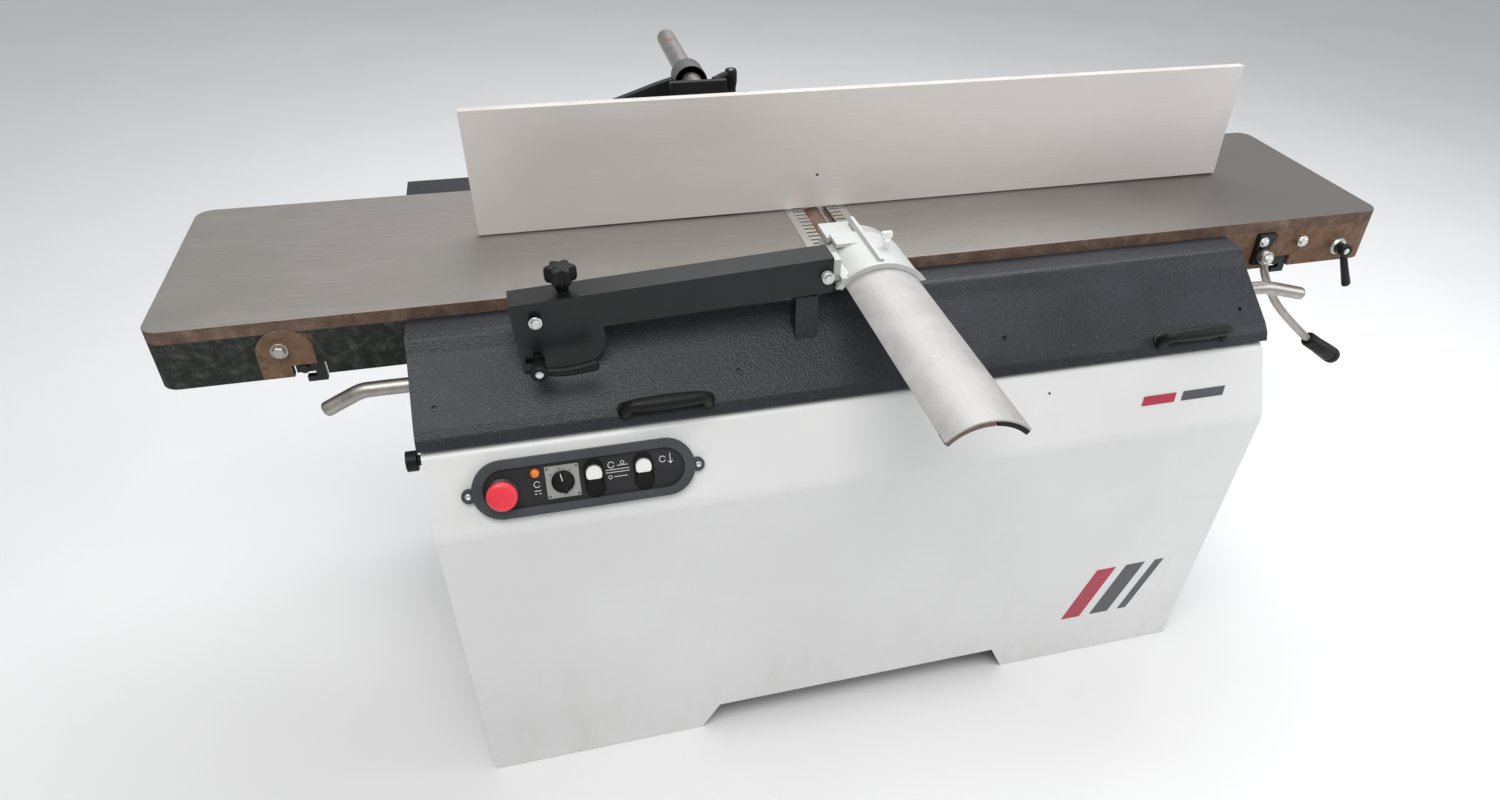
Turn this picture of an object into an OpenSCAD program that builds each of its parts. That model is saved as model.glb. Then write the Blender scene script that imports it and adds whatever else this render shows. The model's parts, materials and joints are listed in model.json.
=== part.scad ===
// Surface planer (jointer) with tilting tables over a thicknessing bed.
// X runs along the tables (+X infeed end), +Y to the rear, Z up, Z = 0 on the floor,
// X = 0 at the cutterblock axis, Y = 0 midway between the front and rear floor bolts.

/* [Tables] */
// Height of the table surface above the floor
table_h = 885; // [880:1:886]
// Distance from the cutterblock axis to the outer end of the outfeed table
outfeed_end = 1066; // [1050:1:1090]
// Distance from the cutterblock axis to the outer end of the infeed table
infeed_end = 1064; // [1050:1:1090]
// Depth of the table castings, front to rear
table_w = 425; // [423:1:426]
// Thickness of the table plates
table_t = 20; // [14:1:24]
// Height of the table skirts
skirt_h = 99; // [92:1:99]
// Corner radius at the outer ends, in plan
corner_r = 27; // [10:1:40]

/* [Cutterblock] */
// Diameter of the cutting circle
cut_d = 96; // [94:1:96]
// Number of knives
knives_n = 3; // [2:1:4]
// Pitch of the comb slots in the table lips
comb_pitch = 14.5; // [12:0.5:18]
// Width of a comb slot
comb_w = 5; // [4:0.5:7]

/* [Cabinet] */
// Left end of the cabinet
cab_l = 704; // [700:1:704]
// Right end of the cabinet
cab_r = 720; // [718:1:722]
// Sheet thickness of the cabinet
sheet = 3; // [2:0.5:3]
// Height of the gap for a pallet truck
pallet_h = 62; // [50:1:66]

/* [Fence] */
// Height of the fence face
fence_h = 213; // [150:1:213]
// Thickness of the hollow fence extrusion
fence_t = 16; // [14:1:16]
// Diameter of the round fence bar
bar_d = 38; // [36:1:38]

/* [Cutter guard] */
// Width of the curved guard blade
guard_w = 120; // [110:1:122]
// Length of the guard blade
guard_l = 565; // [450:1:600]

/* [Hidden] */
$fn = 64;
yf = -165;              // front edge of the tables
yr = yf + table_w;      // rear edge of the tables
az = 837;               // height of the cutterblock axis
mx = 420; mz = 385;     // motor axis
py = 303; pl = 25;      // belt plane, start and width
rol_x = 86; rol_z = 752;
hy = 340; hz = 760;     // table hinge axis
bx = -180; bz = 1048;   // fence bar axis
px = -518; pz = 907;    // guard arm pivot
qx = -80; qz = 931;     // guard holder pivot
gx = 10;                // guard centre line
gR = (guard_w/2*guard_w/2 + 625)/50;    // radius of the guard blade's outer face
tilt_y = 82; tilt_z = 905;

// ---- helpers ----
// solid between x0 and x1 from a polygon drawn in (Y, Z)
module along_x(x0, x1) translate([x0,0,0]) rotate([90,0,90]) linear_extrude(x1-x0) children();
// solid between y0 and y1 from a polygon drawn in (X, Z)
module along_y(y0, y1) translate([0,y1,0]) rotate([90,0,0]) linear_extrude(y1-y0) children();
module blk(a, b) translate(a) cube(b-a);
module rod_x(x0, x1, y, z, r) translate([x0,y,z]) rotate([0,90,0]) cylinder(h=x1-x0, r=r);
module rod_y(y0, y1, x, z, r) translate([x,y1,z]) rotate([90,0,0]) cylinder(h=y1-y0, r=r);
// straight bar between two points
module bar(a, b, r) { v = b-a; l = norm(v);
  translate(a) rotate([0, acos(v[2]/l), atan2(v[1], v[0])]) cylinder(h=l, r=r); }
// bent round bar through a list of points
module bent(p, r, k = 1.01) for (i=[0:len(p)-2]) { bar(p[i], p[i+1], r); if (i > 0) translate(p[i]) sphere(r=r*k); }
// sheet strip of thickness t laid under an open list of points
function unit(v) = v/norm(v);
function nrm(p, i) = let(a = i > 0 ? unit(p[i]-p[i-1]) : unit(p[1]-p[0]),
    b = i < len(p)-1 ? unit(p[i+1]-p[i]) : a, m = unit(a+b), k = 1/(m*a)) [-m[1], m[0]]*k;
function strip(p, t) = concat(p, [for (i=[len(p)-1:-1:0]) p[i] + t*nrm(p,i)]);
function arc(cx, cy, r, a0, a1, n) = [for (i=[0:n]) [cx + r*cos(a0+(a1-a0)*i/n), cy + r*sin(a0+(a1-a0)*i/n)]];
// frame of the sloping control strip: x along the machine, y up the strip, z outward
module on_strip() translate([0,-376,680.5]) rotate([64.61,0,0]) children();
module stadium(x0, x1, y0, y1, h) { r = (y1-y0)/2; c = (y1+y0)/2;
  translate([x0+r,c,0]) cylinder(h=h, r=r); translate([x1-r,c,0]) cylinder(h=h, r=r);
  translate([x0+r,y0,0]) cube([x1-x0-2*r, y1-y0, h]); }
// outline of a belt round two pulleys of radius r0 at the cutterblock and r1 at the motor
module belt_outline(r0, r1) { d = norm([mx, mz-az]); a = atan2(mz-az, mx); b = acos((r0-r1)/d);
  polygon(concat(arc(0, az, r0, a+b, a+360-b, 44), arc(mx, mz, r1, a-b, a+b, 44))); }

// ---- base and cabinet ----
module base_frame() color("dimgray") {
  blk([-700,-352,pallet_h+4],[716,352,pallet_h+8]);
  difference() { blk([-690,-350,0],[-590,350,pallet_h+4]); blk([-691,-351,6],[-596,351,pallet_h-2]);
    for (y=[-300,300]) translate([-640,y,-1]) cylinder(h=8, r=7); }
  difference() { blk([600,-350,0],[700,350,pallet_h+4]); blk([606,-351,6],[701,351,pallet_h-2]);
    for (y=[-300,300]) translate([640,y,-1]) cylinder(h=8, r=7); } }
module foot_gap(y0, y1) along_y(y0, y1) polygon([[-313,-1],[-277,pallet_h],[296,pallet_h],[327,-1]]);
front_pts = [[-320,740],[-347,740],[-403,622],[-358,0]];
module cabinet_front() color("whitesmoke") difference() {
  along_x(-cab_l, cab_r) polygon(strip(front_pts, sheet));
  foot_gap(-420, -300);
  on_strip() translate([0,0,-20]) stadium(-632,-320,-35,37,40);
  on_strip() translate([300,31,-20]) cylinder(h=40, r=2.5); }
module cabinet_rear() color("whitesmoke") difference() {
  blk([-cab_l,355,0],[cab_r,358,740]);
  foot_gap(350, 360);
  rod_y(350, 360, -70, 660, 62);
  rod_y(350, 360, 560, 120, 10.2);
  for (i=[0:6]) blk([250+i*22,350,300],[258+i*22,360,420]); }
module end_sheet(x0) difference() {
  along_x(x0, x0+sheet) polygon([[-343.2,736.9],[-399.6,621.5],[-354.9,0],[354.9,0],[354.9,737]]);
  blk([x0-1,-182,440],[x0+sheet+1,264,738]); }
module cabinet_end_left() color("whitesmoke") end_sheet(-cab_l);
module cabinet_end_right() color("whitesmoke") end_sheet(cab_r-sheet);

// ---- machine body inside the cabinet ----
module cheek_front() color("slategray") difference() {
  union() { blk([-230,-195,pallet_h+8],[230,-183,800]); blk([-60,-195,799],[60,-183,861.5]); }
  rod_y(-196,-182,0,az,17);
  for (s=[-1,1]) rod_y(-196,-182,s*rol_x,rol_z,10.05); }
module cheek_rear() color("slategray") difference() {
  union() { blk([-230,268,pallet_h+8],[230,280,790]); blk([-22.4,268,789],[22.4,280,az]); rod_y(268,280,0,az,22.4);
    blk([229,268,mz-100],[530,280,mz+90]); }
  rod_y(267,281,0,az,17);
  for (s=[-1,1]) rod_y(267,281,s*rol_x,rol_z,10.05);
  rod_y(267,281,mx,mz,20);
  blk([-54,267,690],[-6,281,760]); }
module ring_y(y0, y1, ro, ri) difference() { rod_y(y0,y1,0,az,ro); rod_y(y0-1,y1+1,0,az,ri); }
module cutter_bearings() color("silver") { ring_y(-195,-183,17,10); ring_y(268,280,17,10); }
module drive_belt() color("black") along_y(py+4, py+pl-4) difference() {
  belt_outline(37.3, 53.3); belt_outline(32.3, 48.3); }
module motor_body() color("steelblue") difference() {
  union() { rod_y(30,256,mx,mz,74); rod_y(252,268,mx,mz,90); rod_y(-12,30,mx,mz,76);
    for (i=[0:11]) translate([mx,0,mz]) rotate([0,i*30,0]) blk([-2,44,60],[2,246,80]);
    blk([mx+60,110,mz-45],[mx+115,200,mz+45]); }
  rod_y(225,269,mx,mz,14.05); }
module chip_hood() color("gainsboro") difference() {
  union() { blk([-54,-183,690],[54,268,784]); blk([-54,260,690],[-6,284,760]);
    blk([-135,280,596],[-6,355,762]); rod_y(350,440,-70,660,60); }
  blk([-51,-180,693],[51,265,790]);
  blk([-51,255,693],[-9,290,757]);
  blk([-132,283,599],[-9,352,759]);
  rod_y(340,441,-70,660,57); }
module cable_gland() color("black") difference() {
  union() { rod_y(346,355,560,120,14); rod_y(345,362,560,120,10); rod_y(358,366,560,120,15); rod_y(365,380,560,120,12); }
  rod_y(344,381,560,120,6); }
module lift_column() color("dimgray") difference() {
  union() { translate([0,40,pallet_h+8]) cylinder(h=330, r=48); translate([0,40,pallet_h+8]) cylinder(h=12, r=80); }
  translate([0,40,pallet_h+12]) cylinder(h=400, r=40.05); }
module hinge_block(x) { blk([x-40,300,640],[x+40,355,735]);
  for (s=[-1,1]) translate([x+s*30,0,0]) { blk([-10,322,734],[10,355,765]);
    rod_x(-10,10,hy,hz,16); }
  rod_x(x-40,x+40,hy,hz,8); }
module hinge_blocks() color("slategray") { hinge_block(-410); hinge_block(410); }
module thickness_table() color("darkgray") {
  blk([-270,-176,440],[270,258,470]);
  for (x=[-262,-90,82,254]) blk([x,-170,405],[x+8,252,441]);
  for (y=[-170,244]) blk([-262,y,405],[262,y+8,441]);
  translate([0,40,140]) cylinder(h=300, r=40); }
module roller(x, grooves) { difference() { rod_y(-176,262,x,rol_z,27.5);
    for (i=[0:grooves-1]) translate([x,0,rol_z]) rotate([0,i*360/max(grooves,1),0]) blk([-2,-177,25],[2,263,29]); }
  rod_y(-195,280,x,rol_z,10); }
module feed_roller_infeed() color("gray") roller(rol_x, 12);
module feed_roller_outfeed() color("gray") roller(-rol_x, 0);

// ---- cutterblock and drive ----
module block_slots(y0, y1) for (i=[0:knives_n-1]) translate([0,0,az]) rotate([0,16+i*360/knives_n,0]) blk([-8,y0,22],[9,y1,60]);
module cutterblock() color("rosybrown") { difference() { rod_y(yf+2,yr-2,0,az,cut_d/2-1.5); block_slots(yf,yr); }
  rod_y(-182,yf+3,0,az,14); rod_y(yr-3,267,0,az,14); rod_y(-200,330,0,az,9.95); }
module cutter_knives() color("silver") for (i=[0:knives_n-1]) translate([0,0,az]) rotate([0,16+i*360/knives_n,0]) blk([-8,yf+6,23],[-5,yr-6,cut_d/2-0.6]);
module cutter_gibs() color("lightgray") for (i=[0:knives_n-1]) translate([0,0,az]) rotate([0,16+i*360/knives_n,0]) blk([-5,yf+6,23],[9,yr-6,cut_d/2-4.5]);
module pulley(x, z, r, rf) { rod_y(py,py+pl,x,z,r); rod_y(py,py+3,x,z,rf); rod_y(py+pl-3,py+pl,x,z,rf); }
module cutter_pulley() color("gray") difference() { pulley(0,az,32,36.5); rod_y(py-1,py+pl+1,0,az,9.95); }
module motor_pulley() color("gray") { pulley(mx,mz,48,52); rod_y(230,py+1,mx,mz,14); }

// ---- control panel ----
module control_surround() color("dimgray") on_strip() difference() {
  union() { translate([0,0,0]) stadium(-642,-310,-43,46,9); for (x=[-646,-306]) translate([x,-1.5,0]) cylinder(h=6, r=11); }
  translate([0,0,-1]) stadium(-626,-326,-30,33,12);
  for (x=[-647,-305]) translate([x,-1.5,-1]) cylinder(h=9, r=2.6); }
module control_plate() color("#3a3c40") on_strip() difference() {
  translate([0,0,-4]) stadium(-626,-326,-30,33,8);
  translate([-599,-4.5,-5]) cylinder(h=12, r=8.2);
  translate([-549,20,-5]) cylinder(h=12, r=5);
  translate([-510,2,-5]) cylinder(h=12, r=5.2);
  for (x=[-463.5,-389]) translate([x-12.5,-24.5,-5]) cube([25,48,12]); }
module panel_screws() color("silver") on_strip() for (x=[-647,-305]) translate([x,-1.5,0.5]) { cylinder(h=5.5, r=2.5); translate([0,0,5.5]) cylinder(h=3, r=5); }
module signal_lamp() color("orange") on_strip() translate([-549,20,-4]) { cylinder(h=9, r=4.9); translate([0,0,8]) cylinder(h=5, r=6.5); }
module estop_button() color("red") on_strip() translate([-599,-4.5,0]) { translate([0,0,-4]) cylinder(h=16, r=8);
  translate([0,0,11]) cylinder(h=10, r=17); translate([0,0,20]) cylinder(h=8, r=22.5); }
module selector_knob() color("black") on_strip() translate([-510,2,0]) { translate([0,0,-4]) cylinder(h=13, r=5);
  translate([0,0,8]) cylinder(h=9, r=11); rotate([0,0,100]) translate([-17,-4,9]) cube([34,8,12]); }
// half of an arched double push-button: s = 1 upper, -1 lower
module half_button(x, s) on_strip() translate([x,-0.5,-4]) { 
  translate([-11.8, s > 0 ? 0.4 : -23.2, 0]) cube([23.6, 22.8, 10]);
  translate([0, s*8.5, 0]) intersection() { translate([0,0,9]) cylinder(h=8, r=11.8);
    translate([-14, s > 0 ? -8.1 : -20, 0]) cube([28, 28.1, 30]); }
}
module white_button_left() color("white") half_button(-463.5, 1);
module black_button_left() color("black") half_button(-463.5, -1);
module white_button_right() color("white") half_button(-389, 1);
module black_button_right() color("black") half_button(-389, -1);
module side_knob() color("black") { rod_x(-cab_l-8,-cab_l-0.5,-325,718,8); rod_x(-cab_l-24,-cab_l-8,-325,718,15.5); }

// ---- tables ----
module plan(w, l, r) { translate([0,0]) square([l-r, w]); square([l, 1]);
  translate([0,r]) square([l, w-2*r]); translate([l-r,r]) circle(r=r); translate([l-r,w-r]) circle(r=r); }
// table casting drawn from its lip end at x = 0 outwards to x = l
module plan2(w, l, r) union() { square([l-r, w]); translate([0,r]) square([l, w-2*r]);
  translate([l-r,r]) circle(r=r); translate([l-r,w-r]) circle(r=r); }
module casting(l) { translate([0,yf,table_h-table_t]) linear_extrude(table_t) plan2(table_w, l, corner_r);
  difference() { translate([0,yf,table_h-skirt_h]) linear_extrude(skirt_h-table_t+1) plan2(table_w, l, corner_r);
    translate([12,yf+12,table_h-skirt_h-1]) linear_extrude(skirt_h-table_t+1) plan2(table_w-24, l-24, corner_r-12);
    blk([-1,yf-1,table_h-skirt_h-1],[60,yr+1,table_h-skirt_h+48]); }
  n = ceil(l/170);
  for (i=[1:n-1]) blk([l*i/n-5,yf+10,table_h-70],[l*i/n+5,yr-10,table_h-table_t+1]);
  blk([12,yf+table_w/2-5,table_h-70],[l-10,yf+table_w/2+5,table_h-table_t+1]); }
module table_outfeed() color("#8d8880") difference() {
  union() { translate([-57,0,0]) mirror([1,0,0]) casting(outfeed_end-57);
    blk([-924,-169,789],[-844,yf+1,829]); rod_y(-169,yf+1,-884,829,40);
    rod_y(-176,-168,-889,840,11); }
  blk([-881,-170,785],[-834,-150,808]); }
module table_infeed() color("#8d8880") difference() {
  union() { translate([57,0,0]) casting(infeed_end-57);
    rod_y(-176,yf+1,896,842,11); rod_y(-178,yf+1,978,826,8); }
  blk([846,-170,785],[889,-150,808]); }
lip_pts = [[-57,table_h],[-23,table_h],[-23,table_h-4],[-38,table_h-13],[-51,table_h-17],[-51,table_h-35],[-57,table_h-35]];
module lip() difference() { along_y(yf, yr) polygon(lip_pts);
  for (i=[0:floor((table_w-20)/comb_pitch)]) blk([-43,yf+8+i*comb_pitch,table_h-30],[-20,yf+8+i*comb_pitch+comb_w,table_h+1]); }
module lip_outfeed() color("silver") lip();
module lip_infeed() color("silver") mirror([1,0,0]) lip();
module latch(x) { blk([x-20,-160,790],[x+20,-150,808]); blk([x+6,-160,772],[x+20,-150,792]); blk([x-8,-160,772],[x+20,-150,781]);
  rod_y(-164,-150,x-8,797,7); }
module latch_hook_outfeed() color("#2c2c2e") latch(-858);
module latch_hook_infeed() color("#2c2c2e") latch(868);
module rear_beam() color("#383e44") {
  difference() { along_x(-722,722) polygon([[261,800],[264,800],[264,877],[332,877],[332,800],[335,800],[335,880],[261,880]]);
    blk([-76,255,795],[76,266,876.9]); blk([-730,250,795],[-722,340,890]); }
  for (x=[-722,719]) blk([x,261,800],[x+3,335,880]);
  for (x=[-640,-400,-150]) blk([x-30,yr,810],[x+30,261.5,850]);
  for (x=[-410,410]) difference() { union() { blk([x-19,326,758],[x+19,352,803]); rod_x(x-19,x+19,hy,hz,15); blk([x-19,326,800],[x+19,334,870]); }
    rod_x(x-20,x+20,hy,hz,8.05); } }
cover_pts = [[-168,table_h-20],[-221,table_h-20],[-240,842],[-282,811],[-331,775],[-342,763],[-348,748]];
module cover_holes() for (x=[-676,-224,228,683]) translate([x,-306,793.5]) rotate([36,0,0]) translate([0,0,-20]) cylinder(h=40, r=4);
module front_cover() color("#383e44") { difference() { union() {
      along_x(-708, 725) polygon(strip(cover_pts, 2.5));
      blk([-708,-168,835],[-60,yf,table_h-20]); blk([-60.1,-170.5,835],[725,-168,table_h-20]);
      for (x=[-708,722.5]) along_x(x, x+2.5) polygon(concat(cover_pts, [[-200,748],[-168,760]])); }
    cover_holes();
    blk([-18,-172,834],[18,-164.9,856]);
    rod_x(-710,-700,-205,774,12.4); rod_x(715,730,-225,781,12.4); }
  difference() { blk([-125,-273,820],[-89,-244,893]); along_x(-130,-80) polygon(concat([for (p=cover_pts) p+[0,-1]],[[-348,700],[-168,700]])); }
  for (s=[-1,1]) { x = s < 0 ? -705.6 : 690; y = s < 0 ? -205 : -225; z = s < 0 ? 774 : 781;
    difference() { blk([x,y-18,z-18],[x+32.6,y+18,z+18]); rod_x(x-1,x+34,y,z,12.4); } }
}
hn = [-0.588,0.809];    // outward normal of the sloping cover face, in (Y, Z)
module pull_handle(x) { c = [-354.6,787.5]; b = [-340.42,768.13];
  rod_x(x-60,x+60,c[0],c[1],12); for (s=[-1,1]) { translate([x+s*60,c[0],c[1]]) sphere(r=12);
    bar([x+s*58,c[0],c[1]],[x+s*58,b[0],b[1]],9); } }
module pull_handle_outfeed() color("black") pull_handle(-343);
module pull_handle_infeed() color("black") pull_handle(572);
module table_lock_lever() color("black") { rod_y(-207,-178.5,978,826,13); bar([978,-198,826],[1013,-200,750],8.5); translate([1013,-200,750]) sphere(r=9); }
module lock_bar_left() color("silver") { bent([[-676,-205,774],[-786,-205,774],[-845,-205,746]],12,1.04); }
module lock_bar_right() color("silver") { bent([[696,-225,781],[800,-225,781],[888,-225,757]],12); }
lev = [[817,-187,800],[852,-187,745],[899,-187,693],[979,-187,625]];
module depth_lever() color("silver") { rod_y(-196,-178,812,822,14); bent(concat([[812,-187,822]],lev,[[1020,-187,598.5]]),7.5); }
module depth_grip() color("black") difference() { bar([984,-187,621.8],[1072,-187,565],17); bar([980,-187,624.3],[1021,-187,597.9],7.5); }

// ---- fence ----
module fence_carrier() color("#26282a") { difference() { union() {
      along_y(316,332) polygon([[-420,880],[-40,880],[-60,1002],[-60,1012],[-148,1012],[-150,1048],[-210,1052],[-240,1044],[-420,985]]);
      blk([-430,264,880],[-30,334,890]);
      for (x=[-400,-245,-60]) along_x(x,x+10) polygon([[270,889],[318,889],[318,960]]);
      rod_y(300,350,bx,bz,31); blk([-152,296,1002],[-58,342,1012]); }
    rod_y(299,351,bx,bz,bar_d/2+0.05); } }
module fence_bar() color("silver") rod_y(232,600,bx,bz,bar_d/2);
module fence_bracket() color("#26282a") { blk([-232,220,893],[-128,232,1075]);
  for (x=[-230,-144]) { blk([x,tilt_y,896],[x+14,221,914]); rod_x(x,x+14,tilt_y,tilt_z,9); }
  for (x=[-227,-141]) along_x(x,x+8) polygon([[140,913],[221,913],[221,1000]]);
  rod_x(-230,-130,tilt_y,tilt_z,6); }
module fence_plate() color("#c8c4bc") difference() {
  union() { blk([-595,54.5,889],[843,54.5+fence_t,889+fence_h]);
    blk([-215,54.5+fence_t-1,895],[-145,tilt_y+6,915]); rod_x(-215,-145,tilt_y,tilt_z,10); }
  for (i=[0:3]) blk([-596,57.5,892+i*(fence_h-3)/4],[844,51.5+fence_t,889+(i+1)*(fence_h-3)/4]);
  blk([-215.1,68,894.9],[-144.9,70,915.1]);
  rod_x(-216,-144,tilt_y,tilt_z,6.05);
  rod_y(50,60,1,950,2.5); }
module fence_clamp_lever() color("black") { translate([-100,318,1012.5]) cylinder(h=3, r=22);
  translate([-100,318,1015]) cylinder(h=42, r=10); translate([-100,318,1057]) cylinder(h=8, r=6);
  bar([-100,318,1051],[-137,299,1048],7); }

// ---- cutter guard ----
function atop(x) = 933 + (x+553)*27/493;
module guard_bracket() color("#26282a") { blk([-548,-272,866],[-490,-172,871]); blk([-548,-221,865],[-490,-172,867]);
  blk([-546,-272,826],[-492,-264,922]); rod_y(-282,-231,px,pz,6); rod_y(-290,-281.5,px,pz,9);
  rod_y(-296,-270,-522,843,6); }
module guard_arm() color("#282c2c") difference() {
  union() {
    along_y(-281,-277) polygon(concat([[-553,atop(-553)],[-545,822],[-464,822]], arc(-464,866,44,-88,20,14), [[-422,atop(-422)-56],[-69,atop(-69)-58],[-69,atop(-69)]]));
    along_y(-237,-233) polygon([[-553,atop(-553)],[-553,atop(-553)-52],[-69,atop(-69)-58],[-69,atop(-69)]]);
    along_y(-281,-233) polygon([[-553,atop(-553)],[-553,atop(-553)-4],[-69,atop(-69)-4],[-69,atop(-69)]]); }
  rod_y(-285,-230,px,pz,6.06); rod_y(-285,-230,qx,qz,6.06);
  blk([-540,-285,834],[-512,-270,852]);
  translate([-474,-257,900]) cylinder(h=60, r=5.8); }
module star_knob() color("black") translate([-474,-257,0]) { translate([0,0,915]) cylinder(h=27, r=5);
  translate([0,0,940]) cylinder(h=16, r=10); translate([0,0,954]) cylinder(h=24, r=16);
  for (i=[0:5]) rotate([0,0,i*60]) translate([16,0,954]) cylinder(h=24, r=7.5); }
module arm_clamp_lever() color("black") { rod_y(-330,-296.4,-522,843,12); bar([-522,-322,843],[-440,-324,848],8); translate([-440,-324,848]) sphere(r=8.5); }
module arch(r0, r1, y0, y1, zlow) intersection() { difference() { rod_y(y0,y1,gx,935-gR,r1); rod_y(y0-1,y1+1,gx,935-gR,r0); }
  blk([-150,y0,zlow],[200,y1,1000]); }
module guard_blade() color("gainsboro") arch(gR-3, gR, -125-guard_l, -125, 910);
module guard_holder() color("lightgray") { 
  difference() { union() { arch(gR+0.5, gR+6, -285, -165, 907); 
      arch(gR+0.5, gR+9, -285, -277, 907);
      blk([-46,-166,924],[20,-112,936]); blk([-40,-200,934],[16,-160,940]); }
    rod_y(-286,-111,gx,935-gR,gR+0.5); 
    blk([-47,-170,900],[21,-111,936-0.0-8]); }
  along_y(-276,-120) polygon([[4,939],[16,939],[13,948],[7,948]]);
  difference() { blk([-100,-270,914],[-54,-244,950]); rod_y(-286,-200,gx,935-gR,gR+3); }
  difference() { blk([-56,-285,903],[-46,-168,925]); rod_y(-286,-111,gx,935-gR,gR+0.5); }
  rod_y(-290,-229,qx,qz,6); rod_y(-291,-282,qx,qz,9); }
module guard_thumbscrew() color("white") translate([36,-222,0]) { translate([0,0,938.6]) cylinder(h=15, r=4); translate([-9,-3,952]) cube([18,6,14]); }

base_frame();
cabinet_front();
cabinet_rear();
cabinet_end_left();
cabinet_end_right();
cheek_front();
cheek_rear();
cutter_bearings();
drive_belt();
motor_body();
chip_hood();
cable_gland();
lift_column();
hinge_blocks();
control_surround();
control_plate();
signal_lamp();
panel_screws();
cutterblock();
cutter_knives();
cutter_gibs();
cutter_pulley();
motor_pulley();
thickness_table();
feed_roller_infeed();
feed_roller_outfeed();
estop_button();
selector_knob();
white_button_left();
black_button_left();
white_button_right();
black_button_right();
table_outfeed();
lip_outfeed();
rear_beam();
front_cover();
pull_handle_outfeed();
pull_handle_infeed();
latch_hook_outfeed();
fence_carrier();
guard_bracket();
table_infeed();
lip_infeed();
latch_hook_infeed();
table_lock_lever();
lock_bar_left();
lock_bar_right();
depth_lever();
depth_grip();
side_knob();
fence_bar();
fence_bracket();
fence_plate();
fence_clamp_lever();
guard_arm();
guard_holder();
guard_blade();
guard_thumbscrew();
star_knob();
arm_clamp_lever();
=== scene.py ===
import bpy, bmesh, math, json
from mathutils import Vector, Matrix

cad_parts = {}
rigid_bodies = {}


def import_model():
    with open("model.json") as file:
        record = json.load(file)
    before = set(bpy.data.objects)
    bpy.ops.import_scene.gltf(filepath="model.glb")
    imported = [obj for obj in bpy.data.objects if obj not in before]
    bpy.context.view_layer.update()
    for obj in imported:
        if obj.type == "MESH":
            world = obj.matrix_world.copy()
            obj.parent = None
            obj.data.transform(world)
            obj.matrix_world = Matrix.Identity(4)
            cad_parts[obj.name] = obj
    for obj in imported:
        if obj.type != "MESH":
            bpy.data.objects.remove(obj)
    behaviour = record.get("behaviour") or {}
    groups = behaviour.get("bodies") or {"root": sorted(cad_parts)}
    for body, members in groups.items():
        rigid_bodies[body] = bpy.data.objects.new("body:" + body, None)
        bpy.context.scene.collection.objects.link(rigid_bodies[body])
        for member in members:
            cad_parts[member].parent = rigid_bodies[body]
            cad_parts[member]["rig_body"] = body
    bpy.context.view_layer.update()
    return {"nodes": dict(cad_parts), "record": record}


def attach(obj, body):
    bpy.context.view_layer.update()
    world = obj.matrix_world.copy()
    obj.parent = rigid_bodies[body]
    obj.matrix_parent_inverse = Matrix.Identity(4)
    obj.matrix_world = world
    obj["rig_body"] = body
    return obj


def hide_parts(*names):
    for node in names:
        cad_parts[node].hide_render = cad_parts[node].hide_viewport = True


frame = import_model()
N = frame["nodes"]
MM = 0.001

# ------------------------------------------------------------------ materials
def new_mat(name):
    m = bpy.data.materials.new(name); m.use_nodes = True
    nt = m.node_tree; nt.nodes.clear()
    out = nt.nodes.new("ShaderNodeOutputMaterial"); b = nt.nodes.new("ShaderNodeBsdfPrincipled")
    nt.links.new(b.outputs[0], out.inputs[0])
    return m, nt, b
def nd(nt, kind, **k):
    n = nt.nodes.new(kind)
    for a, v in k.items():
        if a in n.inputs.keys(): n.inputs[a].default_value = v
        else: setattr(n, a, v)
    return n
def coord(nt, scale=(1, 1, 1)):
    tc = nt.nodes.new("ShaderNodeTexCoord"); mp = nt.nodes.new("ShaderNodeMapping")
    mp.inputs["Scale"].default_value = scale
    nt.links.new(tc.outputs["Object"], mp.inputs["Vector"]); return mp.outputs[0]
def noise(nt, vec, scale, detail=4, rough=0.55, dist=0.0):
    n = nd(nt, "ShaderNodeTexNoise"); n.inputs["Scale"].default_value = scale
    n.inputs["Detail"].default_value = detail; n.inputs["Roughness"].default_value = rough
    n.inputs["Distortion"].default_value = dist
    nt.links.new(vec, n.inputs["Vector"]); return n.outputs["Fac"]
def ramp(nt, fac, stops):
    r = nt.nodes.new("ShaderNodeValToRGB"); e = r.color_ramp.elements
    while len(e) < len(stops): e.new(0.5)
    for i, (p, c) in enumerate(stops):
        e[i].position = p; e[i].color = (*c, 1) if len(c) == 3 else c
    nt.links.new(fac, r.inputs[0]); return r.outputs[0]
def gray(nt, fac, stops): return ramp(nt, fac, [(p, (v, v, v)) for p, v in stops])
def mix(nt, fac, a, b, mode="MIX"):
    m = nt.nodes.new("ShaderNodeMix"); m.data_type = "RGBA"; m.blend_type = mode
    for s, v in ((0, fac), (6, a), (7, b)):
        if hasattr(v, "is_linked") or hasattr(v, "links"): nt.links.new(v, m.inputs[s])
        elif s == 0: m.inputs[0].default_value = v
        else: m.inputs[s].default_value = (*v, 1)
    return m.outputs[2]
def math_(nt, op, a, b=0.0, c=0.0, clamp=False):
    m = nt.nodes.new("ShaderNodeMath"); m.operation = op; m.use_clamp = clamp
    for i, v in enumerate((a, b, c)):
        if hasattr(v, "links"): nt.links.new(v, m.inputs[i])
        else: m.inputs[i].default_value = v
    return m.outputs[0]
def bump(nt, bsdf, height, strength=0.2, dist=0.001):
    b = nt.nodes.new("ShaderNodeBump"); b.inputs["Strength"].default_value = strength
    b.inputs["Distance"].default_value = dist
    nt.links.new(height, b.inputs["Height"]); nt.links.new(b.outputs[0], bsdf.inputs["Normal"])
def xyz(nt, vec):
    s = nt.nodes.new("ShaderNodeSeparateXYZ"); nt.links.new(vec, s.inputs[0]); return s.outputs
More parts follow.
